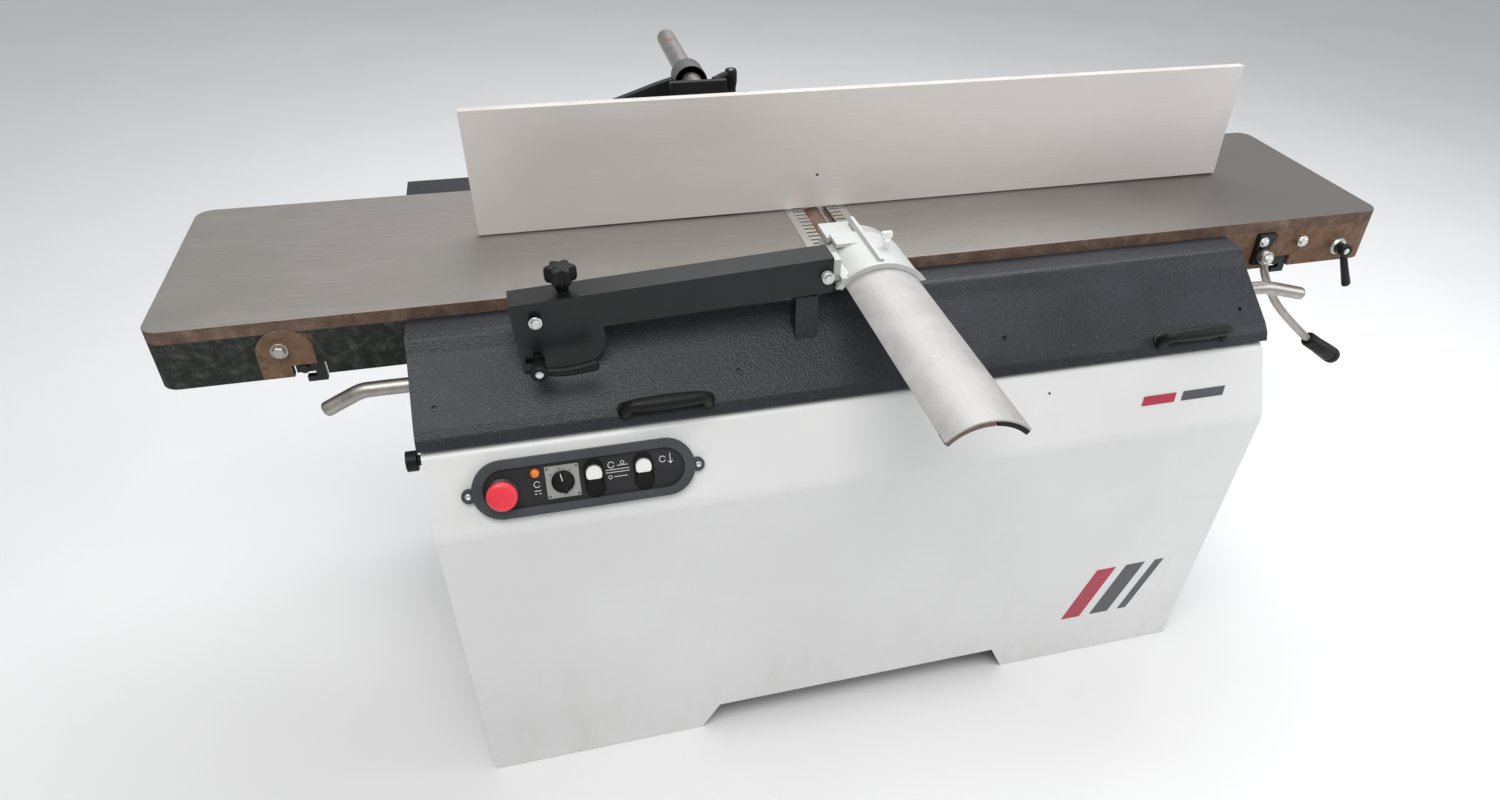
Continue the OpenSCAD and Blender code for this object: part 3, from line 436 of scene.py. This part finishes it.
lathe(bm, [(0, 0), (0.0135, 0), (0.0140, 0.0006), (0.0140, 0.0165), (0.0128, 0.0180), (0.0075, 0.0180), (0.0070, 0.0176), (0, 0.0176)], mm(812, -178, 822), (0, -1, 0), 36)
o = from_bm(bm, "depth_lever.shape", "bare_steel", BODY["depth_lever"]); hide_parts("depth_lever")
a = Vector(mm(984, -187, 621.8)); d = Vector(mm(1072, -187, 565)) - a; L = d.length
bm = bmesh.new(); prof = [(0.0078, 0.0), (0.0112, 0.0004), (0.0124, 0.0018)]
for i in range(4): prof += [(0.0150, 0.0055 + i * 0.008), (0.0152, 0.0075 + i * 0.008), (0.0134, 0.0090 + i * 0.008), (0.0134, 0.0105 + i * 0.008)]
prof += [(0.0150, 0.0385), (0.0160, 0.055), (0.0168, 0.078), (0.0168, 0.0815), (0.0145, 0.0825), (0.0145, 0.0845), (0.0168, 0.0855), (0.0170, 0.094), (0.0160, 0.1005), (0.0125, 0.1035), (0, L)]
lathe(bm, prof + [], a, d, 40); o = from_bm(bm, "depth_grip.shape", "black_plastic", BODY["depth_grip"]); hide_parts("depth_grip")

# moulded pull handles: waisted bar on two splayed feet, over a thin pad
for n, x in (("pull_handle_outfeed", -343), ("pull_handle_infeed", 572)):
    bm = bmesh.new()
    pts = [(x - 62, -337.6, 764.4), (x - 61.5, -344, 773), (x - 59, -350.5, 782), (x - 50, -354.4, 787.2), (x - 30, -354.6, 787.5), (x, -354.6, 787.5),
           (x + 30, -354.6, 787.5), (x + 50, -354.4, 787.2), (x + 59, -350.5, 782), (x + 61.5, -344, 773), (x + 62, -337.6, 764.4)]
    P = smooth_path([mm(*p) for p in pts], 6); nP = len(P)
    R = [(0.0098 + 0.0022 * math.cos(2 * math.pi * i / (nP - 1)) ** 2) for i in range(nP)]
    tube(bm, P, R, 20, ((0, -0.588, 0.809), 0.92), cap=False)
    for k in (0, -1): pass
    bmesh.ops.holes_fill(bm, edges=bm.edges, sides=0)
    c = Vector(mm(x, -336.5, 769.5)); nn = Vector((0, -0.66, 0.75)).normalized(); t = Vector((0, -0.75, -0.66)).normalized()
    ol = fillet([(-0.075, -0.012), (0.075, -0.012), (0.075, 0.012), (-0.075, 0.012)], [0.0118] * 4, 6)
    lay = [[bm.verts.new(c + Vector((1, 0, 0)) * u * k + t * v * k + nn * h) for u, v in ol] for h, k in ((-0.004, 1), (0.0015, 1), (0.003, 0.975))]
    for p, q in zip(lay, lay[1:]):
        for i in range(len(ol)): bm.faces.new((p[i], p[(i + 1) % len(ol)], q[(i + 1) % len(ol)], q[i]))
    bm.faces.new(lay[-1]); bm.faces.new(list(reversed(lay[0])))
    o = from_bm(bm, n + ".shape", "black_plastic", BODY[n]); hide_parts(n)

# adjustable clamping levers: conical hub, curved tapering arm, steel screw in the hub
def clamp_lever(node, hub0, axis, hl, pts, r_hub=0.0125, mat="black_plastic"):
    bm = bmesh.new(); a = Vector(axis).normalized()
    lathe(bm, [(0, 0), (r_hub * 0.78, 0), (r_hub * 0.80, hl * 0.30), (r_hub, hl * 0.55), (r_hub, hl * 0.90), (r_hub * 0.9, hl * 0.985), (r_hub * 0.62, hl), (r_hub * 0.56, hl * 0.94), (0, hl * 0.94)], hub0, a, 36)
    P = smooth_path([mm(*p) for p in pts], 8); n = len(P)
    R = [0.0066 + 0.0022 * (i / (n - 1)) ** 1.6 for i in range(n)]
    tube(bm, P, R, 20, (a, 0.86))
    o = from_bm(bm, node + ".shape", mat, BODY[node]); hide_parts(node)
    bm = bmesh.new(); top = Vector(hub0) + a * hl * 0.94
    hexhead(bm, top, a, 0.0040, 0.0015, 0.0058, 0.0006)
    o = from_bm(bm, node + ".screw", "screw_steel", BODY[node], False)
clamp_lever("arm_clamp_lever", mm(-522, -296.6, 843), (0, -1, 0), 0.0330, [(-522, -318, 843), (-506, -322, 842.5), (-486, -323.5, 841.5), (-462, -324, 843.5), (-441, -324, 847.5)])
clamp_lever("table_lock_lever", mm(978, -186.4, 826), (0, -1, 0), 0.0204, [(978, -197, 826), (983, -199, 811), (991, -200, 793), (1002, -200, 772), (1012.5, -200, 751.5)])
clamp_lever("fence_clamp_lever", mm(-100, 318, 1012.8), (0, 0, 1), 0.0520, [(-100, 318, 1054), (-110, 312.9, 1056), (-120, 307.7, 1054.5), (-128, 303.6, 1051.8), (-134.8, 300.1, 1049.6)], 0.0115)
bm = bmesh.new(); lathe(bm, [(0, 0), (0.0215, 0), (0.0220, 0.0006), (0.0220, 0.0024), (0.0212, 0.0030), (0, 0.0030)], mm(-100, 318, 1012.5), (0, 0, 1), 40)
o = from_bm(bm, "fence_clamp_washer", "screw_steel", BODY["fence_clamp_lever"], False)

bm = bmesh.new(); lathe(bm, [(0, 0), (0.0155, 0), (0.0162, 0.0008), (0.0162, 0.0040), (0.0150, 0.0056), (0.0135, 0.0078), (0, 0.0078)], mm(978, -178.4, 826), (0, -1, 0), 40)
o = from_bm(bm, "lock_lever_collar", "screw_steel", BODY["table_lock_lever"], False)
# bearing ring sleeve of the fence bar, in lighter worn paint
bm = bmesh.new(); lathe(bm, [(0.0196, 0.0), (0.0300, 0.0), (0.0313, 0.0014), (0.0313, 0.0486), (0.0300, 0.0500), (0.0196, 0.0500), (0.0193, 0.0490), (0.0193, 0.0010), (0.0196, 0.0)], mm(-180, 300, 1048), (0, 1, 0), 56)
bmesh.ops.remove_doubles(bm, verts=bm.verts, dist=1e-6); from_bm(bm, "fence_bar_sleeve", "ring_paint", BODY["fence_carrier"], False)
# six-lobed knob with a raised rim cap
bm = bmesh.new(); c = Vector(mm(-474, -257, 0)); seg = 96
def lobe(t, k): return (0.0198 + 0.0037 * math.cos(6 * t)) * k
rings = []
for z, k in ((0.9540, 0.80), (0.9546, 0.90), (0.9570, 0.97), (0.9620, 1.0), (0.9700, 1.0), (0.9745, 0.975), (0.9765, 0.93), (0.9775, 0.86), (0.9772, 0.55), (0.9772, 0.50), (0.9779, 0.47), (0.9780, 0.40)):
    f = 1 if k > 0.8 else 0
    rings.append([bm.verts.new(c + Vector((math.cos(t), math.sin(t), 0)) * (lobe(t, k) if f else 0.0198 * k) + Vector((0, 0, z))) for t in (2 * math.pi * i / seg for i in range(seg))])
for p, q in zip(rings, rings[1:]):
    for i in range(seg): bm.faces.new((p[i], p[(i + 1) % seg], q[(i + 1) % seg], q[i]))
bm.faces.new(rings[-1]); bm.faces.new(list(reversed(rings[0])))
lathe(bm, [(0, 0.9400), (0.0092, 0.9400), (0.0098, 0.9410), (0.0105, 0.950), (0.0130, 0.9545), (0, 0.9545)], c, (0, 0, 1), 36)
o = from_bm(bm, "star_knob.shape", "black_plastic", BODY["star_knob"]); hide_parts("star_knob")
bm = bmesh.new(); pr = [(0, 0.9150), (0.0044, 0.9150)]
for i in range(12): pr += [(0.0050, 0.9160 + i * 0.0022), (0.0045, 0.9171 + i * 0.0022)]
lathe(bm, pr + [(0, 0.9431)], c, (0, 0, 1), 24); from_bm(bm, "star_knob.stud", "screw_steel", BODY["star_knob"])

# ------------------------------------------------------------------ control panel pieces (strip frame: x, up the strip, outward)
SO = Vector(mm(0, -376, 680.5)); SA = math.radians(64.61)
SX = Vector((1, 0, 0)); SY = Vector((0, math.cos(SA), math.sin(SA))); SZ = Vector((0, -math.sin(SA), math.cos(SA)))
def sp(x, y, z=0.0): return SO + SX * x * MM + SY * y * MM + SZ * z * MM
bm = bmesh.new()
lathe(bm, [(0, -0.004), (0.0080, -0.004), (0.0080, 0.0105), (0.0165, 0.0112), (0.0170, 0.0120), (0.0170, 0.0175), (0.0205, 0.0185), (0.0222, 0.0200), (0.0225, 0.0222), (0.0219, 0.0246), (0.0196, 0.0266), (0.0150, 0.0277), (0.0080, 0.0280), (0, 0.0280)], sp(-599, -4.5), SZ, 48)
o = from_bm(bm, "estop_button.shape", "red_plastic", BODY["estop_button"]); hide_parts("estop_button")
bm = bmesh.new(); lathe(bm, [(0.0085, 0.0036), (0.0235, 0.0036), (0.0240, 0.0045), (0.0232, 0.0062), (0.0120, 0.0066), (0.0100, 0.0060), (0.0085, 0.0060)], sp(-599, -4.5), SZ, 48)
from_bm(bm, "estop_bezel", "panel_dark", BODY["control_plate"])
bm = bmesh.new(); lathe(bm, [(0, -0.004), (0.0049, -0.004), (0.0049, 0.0045), (0.0068, 0.0046), (0.0070, 0.0060), (0.0064, 0.0072), (0.0064, 0.0095), (0.0055, 0.0116), (0.0032, 0.0127), (0, 0.0130)], sp(-549, 20), SZ, 32)
o = from_bm(bm, "signal_lamp.shape", "amber_lens", BODY["signal_lamp"]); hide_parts("signal_lamp")
# selector: square printed plate, round skirt, bar grip with a pointer line
def plate(name, x0, x1, y0, y1, z0, z1, r, mat, body):
    bm = bmesh.new(); ol = fillet([(x0, y0), (x1, y0), (x1, y1), (x0, y1)], [r] * 4, 5); cx, cy = (x0 + x1) / 2, (y0 + y1) / 2; lay = []
    for z, k in ((z0, 0), (z1 - min(0.4, (z1 - z0) / 2), 0), (z1, min(0.4, (z1 - z0) / 2))):
        lay.append([bm.verts.new(sp(px - math.copysign(k, px - cx), py - math.copysign(k, py - cy), z)) for px, py in ol])
    for p, q in zip(lay, lay[1:]):
        for i in range(len(ol)): bm.faces.new((p[i], p[(i + 1) % len(ol)], q[(i + 1) % len(ol)], q[i]))
    bm.faces.new(lay[-1]); bm.faces.new(list(reversed(lay[0])))
    o = from_bm(bm, name, mat, body, False)
    return o
plate("selector_plate", -535, -485, -23, 27, 3.9, 6.2, 2.5, "plate_grey", BODY["control_plate"])
bm = bmesh.new(); lathe(bm, [(0, -0.004), (0.0050, -0.004), (0.0050, 0.0070), (0.0165, 0.0072), (0.0172, 0.0080), (0.0168, 0.0104), (0.0120, 0.0116), (0.0108, 0.0160), (0, 0.0168)], sp(-510, 2), SZ, 40)
ca, sa = math.cos(math.radians(100)), math.sin(math.radians(100)); ol = fillet([(-17, -4.2), (13, -4.2), (17, -1.5), (17, 1.5), (13, 4.2), (-17, 4.2)], [3.4, 2.5, 1, 1, 2.5, 3.4], 5); lay = []
for z, k in ((8, 1.0), (18.5, 0.97), (20.4, 0.90), (21, 0.80)):
    lay.append([bm.verts.new(sp(-510 + (u * ca - v * sa) * (0.5 + 0.5 * k) + 0, 2 + (u * sa + v * ca) * (0.5 + 0.5 * k), z)) for u, v in ol])
for p, q in zip(lay, lay[1:]):
    for i in range(len(ol)): bm.faces.new((p[i], p[(i + 1) % len(ol)], q[(i + 1) % len(ol)], q[i]))
bm.faces.new(lay[-1]); bm.faces.new(list(reversed(lay[0])))
o = from_bm(bm, "selector_knob.shape", "black_plastic", BODY["selector_knob"]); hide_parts("selector_knob")
def quad_line(bm, a, b, w, z0, h=0.3):
    """raised printed line between two strip points"""
    d = Vector((b[0] - a[0], b[1] - a[1])).normalized(); n = Vector((-d.y, d.x)) * w / 2
    P = [(a[0] + n.x, a[1] + n.y), (a[0] - n.x, a[1] - n.y), (b[0] - n.x, b[1] - n.y), (b[0] + n.x, b[1] + n.y)]
    lo = [bm.verts.new(sp(u, v, z0)) for u, v in P]; hi = [bm.verts.new(sp(u, v, z0 + h)) for u, v in P]
    for i in range(4): bm.faces.new((lo[i], lo[(i + 1) % 4], hi[(i + 1) % 4], hi[i]))
    bm.faces.new(hi); bm.faces.new(list(reversed(lo)))
def ring_line(bm, c, r, w, z0, h=0.3, a0=0, a1=360, seg=28):
    n = max(3, int(seg * (a1 - a0) / 360))
    for i in range(n):
        t0, t1 = (math.radians(a0 + (a1 - a0) * (i + k) / n) for k in (0, 1))
        quad_line(bm, (c[0] + r * math.cos(t0), c[1] + r * math.sin(t0)), (c[0] + r * math.cos(t1), c[1] + r * math.sin(t1)), w, z0, h)
bm = bmesh.new(); quad_line(bm, (-510 + 4 * ca, 2 + 4 * sa), (-510 + 15 * ca, 2 + 15 * sa), 1.3, 20.9, 0.3)
o = from_bm(bm, "selector_pointer", "print_white", BODY["selector_knob"], False)
bm = bmesh.new()
for t in (55, 100, 145): quad_line(bm, (-510 + 19.5 * math.cos(math.radians(t)), 2 + 19.5 * math.sin(math.radians(t))), (-510 + 22.5 * math.cos(math.radians(t)), 2 + 22.5 * math.sin(math.radians(t))), 1.2, 6.1)
for cx in (-531.5, -488.5):
    for cy in (-19.5, 23.5): ring_line(bm, (cx, cy), 1.5, 1.0, 6.1, seg=16)
from_bm(bm, "selector_marks", "panel_dark", BODY["control_plate"], False)
# frames round the double push-buttons
for x in (-463.5, -389):
    bm = bmesh.new(); o2 = fillet([(x - 15, -29), (x + 15, -29), (x + 15, 28), (x - 15, 28)], [14] * 4, 8); i2 = fillet([(x - 12.2, -21.6), (x + 12.2, -21.6), (x + 12.2, 20.6), (x - 12.2, 20.6)], [12.0] * 4, 8)
    R3 = [[bm.verts.new(sp(u, v, z)) for u, v in q] for q, z in ((o2, 3.8), (o2, 6.2), ([(x + (u - x) * 0.95, -0.5 + (v + 0.5) * 0.975) for u, v in o2], 7.2), (i2, 7.2), (i2, 3.8))]
    n = len(o2)
    for p, q in zip(R3, R3[1:] + R3[:1]):
        for i in range(n): bm.faces.new((p[i], p[(i + 1) % n], q[(i + 1) % n], q[i]))
    from_bm(bm, "button_frame_%s" % ("left" if x < -420 else "right"), "black_plastic", BODY["control_plate"], False)
# plain printed symbols: rings, arrows and bars
bm = bmesh.new(); z0 = 3.9
ring_line(bm, (-548, 2), 4.4, 1.0, z0, a0=25, a1=335); quad_line(bm, (-553, -8), (-543, -8), 1.0, z0); quad_line(bm, (-553, -12.5), (-549.5, -12.5), 1.0, z0); quad_line(bm, (-546.5, -12.5), (-543, -12.5), 1.0, z0)
ring_line(bm, (-437, 16), 4.6, 1.0, z0, a0=20, a1=340); quad_line(bm, (-446, 8.4), (-410, 8.4), 0.9, z0); quad_line(bm, (-428, 14), (-412, 14), 0.9, z0); ring_line(bm, (-420, 18), 2.6, 0.9, z0)
quad_line(bm, (-446, 4.2), (-410, 4.2), 0.9, z0); ring_line(bm, (-440, -3), 2.6, 0.9, z0); quad_line(bm, (-434, -3), (-414, -3), 0.9, z0)
ring_line(bm, (-359, 14), 4.6, 1.0, z0, a0=20, a1=340); quad_line(bm, (-347, 22), (-347, 6), 1.0, z0); quad_line(bm, (-350, 10), (-347, 6), 1.0, z0); quad_line(bm, (-344, 10), (-347, 6), 1.0, z0)
from_bm(bm, "panel_symbols", "print_white", BODY["control_plate"], False)
# panel screws: domed head with a round recess
bm = bmesh.new()
for x in (-647, -305):
    lathe(bm, [(0, 0.0005), (0.0025, 0.0005), (0.0025, 0.0060), (0.0050, 0.0060), (0.0050, 0.0066), (0.0043, 0.0080), (0.0024, 0.0088), (0.0021, 0.0076), (0, 0.0076)], sp(x, -1.5), SZ, 28)
o = from_bm(bm, "panel_screws.shape", "screw_steel", BODY["panel_screws"]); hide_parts("panel_screws")

# ------------------------------------------------------------------ guard details
bm = bmesh.new(); gx, gR = 10, (60 * 60 + 625) / 50; cz = 935 - gR
def arc_pt(r, ang): return ((gx + r * math.sin(ang)) * MM, (cz + r * math.cos(ang)) * MM)
def plug(name, a0, a1, depth, y0, mat):
    n = 14; top = [arc_pt(gR - 3.15, a0 + (a1 - a0) * i / n) for i in range(n + 1)]; bot = [arc_pt(gR - 3.15 - depth, a1 + (a0 - a1) * i / n) for i in range(n + 1)]
    bm = bmesh.new(); ol = top + bot; a = [bm.verts.new((x, y0, z)) for x, z in ol]; b2 = [bm.verts.new((x, -0.668, z)) for x, z in ol]
    for i in range(len(ol)): bm.faces.new((a[i], a[(i + 1) % len(ol)], b2[(i + 1) % len(ol)], b2[i]))
    bm.faces.new(a); bm.faces.new(list(reversed(b2)))
    o = from_bm(bm, name, mat, BODY["guard_blade"], False); bevel_mod(o, 0.0006, 2); return o
half = math.asin(58.6 / (gR - 3.2))
# end plug under the arch: a brownish, streaked left part and a black plastic right part
plug("guard_end_plug_brown_part", -half, half * 0.13, 8.0, -0.6885, "wood_pad"); plug("guard_end_plug", half * 0.15, half * 0.985, 7.2, -0.6894, "black_plastic")
# slotted slide plate on the holder's left flank
bm = bmesh.new(); rr = gR + 6.0
def hp(ang, y, k): return ((gx + (rr + k) * math.sin(ang)) * MM, y * MM, (cz + (rr + k) * math.cos(ang)) * MM)
A0, A1, A2, A3 = (math.radians(t) for t in (-44.5, -41.5, -37.5, -34.5))
for (u0, u1, v0, v1) in ((A0, A3, -273, -268), (A0, A3, -243, -238), (A0, A1, -268, -243), (A2, A3, -268, -243)):
    lo = [bm.verts.new(hp(u, v, -0.2)) for u, v in ((u0, v0), (u1, v0), (u1, v1), (u0, v1))]; hi = [bm.verts.new(hp(u, v, 1.6)) for u, v in ((u0, v0), (u1, v0), (u1, v1), (u0, v1))]
    for i in range(4): bm.faces.new((lo[i], lo[(i + 1) % 4], hi[(i + 1) % 4], hi[i]))
    bm.faces.new(hi); bm.faces.new(list(reversed(lo)))
from_bm(bm, "guard_slide_plate", "white_plastic", BODY["guard_holder"], False)
# thumbscrew with a T-shaped moulded head
bm = bmesh.new(); lathe(bm, [(0, 0.9376), (0.0040, 0.9376), (0.0040, 0.9440), (0.0062, 0.9450), (0.0062, 0.9510), (0.0050, 0.9530), (0, 0.9535)], mm(36, -222, 0), (0, 0, 1), 28)
ol = fillet([(-9, 0.952), (9, 0.952), (9, 0.966), (-9, 0.966)], [0, 0, 0, 0]); prof = fillet([(-4.0, 950), (4.0, 950), (9, 957), (9, 966), (-9, 966), (-9, 957)], [0, 0, 2.5, 2.6, 2.6, 2.5], 5)
a = [bm.verts.new(mm(36 + x, -225, z)) for x, z in prof]; b2 = [bm.verts.new(mm(36 + x, -219, z)) for x, z in prof]
for i in range(len(prof)): bm.faces.new((a[i], a[(i + 1) % len(prof)], b2[(i + 1) % len(prof)], b2[i]))
bm.faces.new(a); bm.faces.new(list(reversed(b2)))
o = from_bm(bm, "guard_thumbscrew.shape", "white_plastic", BODY["guard_thumbscrew"], False); bevel_mod(o, 0.0008, 3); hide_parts("guard_thumbscrew")
# bolt heads with washers on the arm, the table skirts and the cover's right end
def bolts(name, lst, body, axis=(0, -1, 0), **k):
    bm = bmesh.new()
    for p in lst: hexhead(bm, mm(*p), axis, **k)
    o = from_bm(bm, name, "screw_steel", body, False); return o
bolts("arm_pivot_bolt", [(-518, -289.6, 907)], BODY["guard_bracket"], af=0.0062, h=0.0042, washer=0.0098)
bolts("arm_end_bolt", [(-80, -290.6, 931)], BODY["guard_holder"], af=0.0062, h=0.0042, washer=0.0098)
o = bolts("skirt_bolt_outfeed", [(-889, -175.7, 840)], BODY["table_outfeed"], af=0.0085, h=0.0060, washer=0.0128)
o.data.materials[0] = M["bare_steel"]
bolts("skirt_bolt_infeed", [(896, -175.7, 842)], BODY["table_infeed"], af=0.0070, h=0.0050, washer=0.0112)

bolts("depth_lever_bolt", [(812, -195.8, 822)], BODY["depth_lever"], af=0.0060, h=0.0045, washer=0.0098)
bolts("lever_bracket_bolt", [(809, -175.6, 848)], BODY["table_infeed"], af=0.0060, h=0.0045, washer=0.0098)
bm = bmesh.new(); ol = fillet([(798, 862), (842, 862), (830, 840), (824, 800), (798, 800)], [3, 6, 40, 8, 3], 8)
a = [bm.verts.new(mm(x, -175.4, z)) for x, z in ol]; b2 = [bm.verts.new(mm(x, -164.9, z)) for x, z in ol]
for i in range(len(ol)): bm.faces.new((a[i], a[(i + 1) % len(ol)], b2[(i + 1) % len(ol)], b2[i]))
bm.faces.new(a); bm.faces.new(list(reversed(b2)))
o = from_bm(bm, "lever_bracket", "black_paint", BODY["table_infeed"], False); bevel_mod(o, 0.0012, 3)
# plain stripes in place of the printed marks
def on_low(x, z, k): return (x * MM, (-403 + 45 * (622 - z) / 622 - k) * MM, z * MM)
def sheet_print(name, quads, mat, f, z0=0.05, h=0.35):
    bm = bmesh.new()
    for q in quads:
        lo = [bm.verts.new(f(u, v, z0)) for u, v in q]; hi = [bm.verts.new(f(u, v, z0 + h)) for u, v in q]; k = len(q)
        for i in range(k): bm.faces.new((lo[i], lo[(i + 1) % k], hi[(i + 1) % k], hi[i]))
        bm.faces.new(hi); bm.faces.new(list(reversed(lo)))
    return from_bm(bm, name, mat, BODY["cabinet_front"], False)
sheet_print("stripe_red_low", [[(440, 120), (482, 120), (528, 262), (486, 262)]], "print_red", on_low)
sheet_print("stripe_grey_low", [[(505, 120), (547, 120), (593, 262), (551, 262)], [(570, 120), (590, 120), (636, 262), (616, 262)]], "print_grey", on_low)
def on_up(u, v, k): return tuple(sp(u, v, k))
sheet_print("stripe_red_up", [[(474, -14), (538, -14), (544, 2), (480, 2)]], "print_red", on_up); sheet_print("stripe_grey_up", [[(552, -14), (636, -14), (642, 2), (558, 2)]], "print_grey", on_up)

# ------------------------------------------------------------------ floor, light, camera
me = bpy.data.meshes.new("floor"); me.from_pydata([(-60, -60, -0.0008), (60, -60, -0.0008), (60, 60, -0.0008), (-60, 60, -0.0008)], [], [(0, 1, 2, 3)])
floor = bpy.data.objects.new("floor", me); bpy.context.scene.collection.objects.link(floor)
m, nt, b = new_mat("studio_floor"); v = coord(nt); n1 = noise(nt, v, 1.4, 4)
lk(nt, ramp(nt, n1, [(0.3, (0.80, 0.80, 0.80)), (0.7, (0.84, 0.84, 0.84))]), b.inputs["Base Color"]); b.inputs["Roughness"].default_value = 0.7
me.materials.append(m)
W = bpy.data.worlds.new("studio"); bpy.context.scene.world = W; W.use_nodes = True
bg = W.node_tree.nodes["Background"]; bg.inputs[0].default_value = (0.96, 0.975, 1.0, 1); bg.inputs[1].default_value = 0.46
def area(name, loc, target, size, power, color=(1, 1, 1)):
    L = bpy.data.lights.new(name, "AREA"); L.shape = "RECTANGLE"; L.size, L.size_y = size; L.energy = power; L.color = color
    o = bpy.data.objects.new(name, L); bpy.context.scene.collection.objects.link(o); o.location = loc
    o.rotation_euler = (Vector(target) - Vector(loc)).to_track_quat("-Z", "Y").to_euler(); return o
area("key", (-0.9, -2.1, 4.5), (0.1, -0.1, 0.6), (3.4, 2.2), 118, (1, 0.985, 0.965))
area("top", (0.9, 1.4, 3.6), (0.1, 0, 0.8), (3.6, 2.0), 92, (0.97, 0.985, 1))
area("side", (3.2, -1.6, 2.0), (0.3, 0, 0.6), (1.8, 1.8), 34, (0.97, 0.98, 1))
bpy.context.scene.view_settings.view_transform = "Standard"
cam = bpy.data.cameras.new("camera"); cam.sensor_width = 36; cam.lens = 23.716; cam.shift_x = -0.0332; cam.shift_y = 0.0129
co = bpy.data.objects.new("camera", cam); bpy.context.scene.collection.objects.link(co); bpy.context.scene.camera = co
ya, pi_, ro = 0.29, 0.6332, 0.0388
fw = Vector((math.sin(ya) * math.cos(pi_), math.cos(ya) * math.cos(pi_), -math.sin(pi_))); rt = Vector((math.cos(ya), -math.sin(ya), 0)); up = rt.cross(fw)
r2 = rt * math.cos(ro) + up * math.sin(ro); u2 = up * math.cos(ro) - rt * math.sin(ro)
Mx = Matrix.Identity(4)
for i, c in enumerate((r2, u2, -fw)):
    for j in range(3): Mx[j][i] = c[j]
Mx.translation = Vector((-0.4971, -1.5647, 1.6470)); co.matrix_world = Mx
cam.clip_start = 0.01
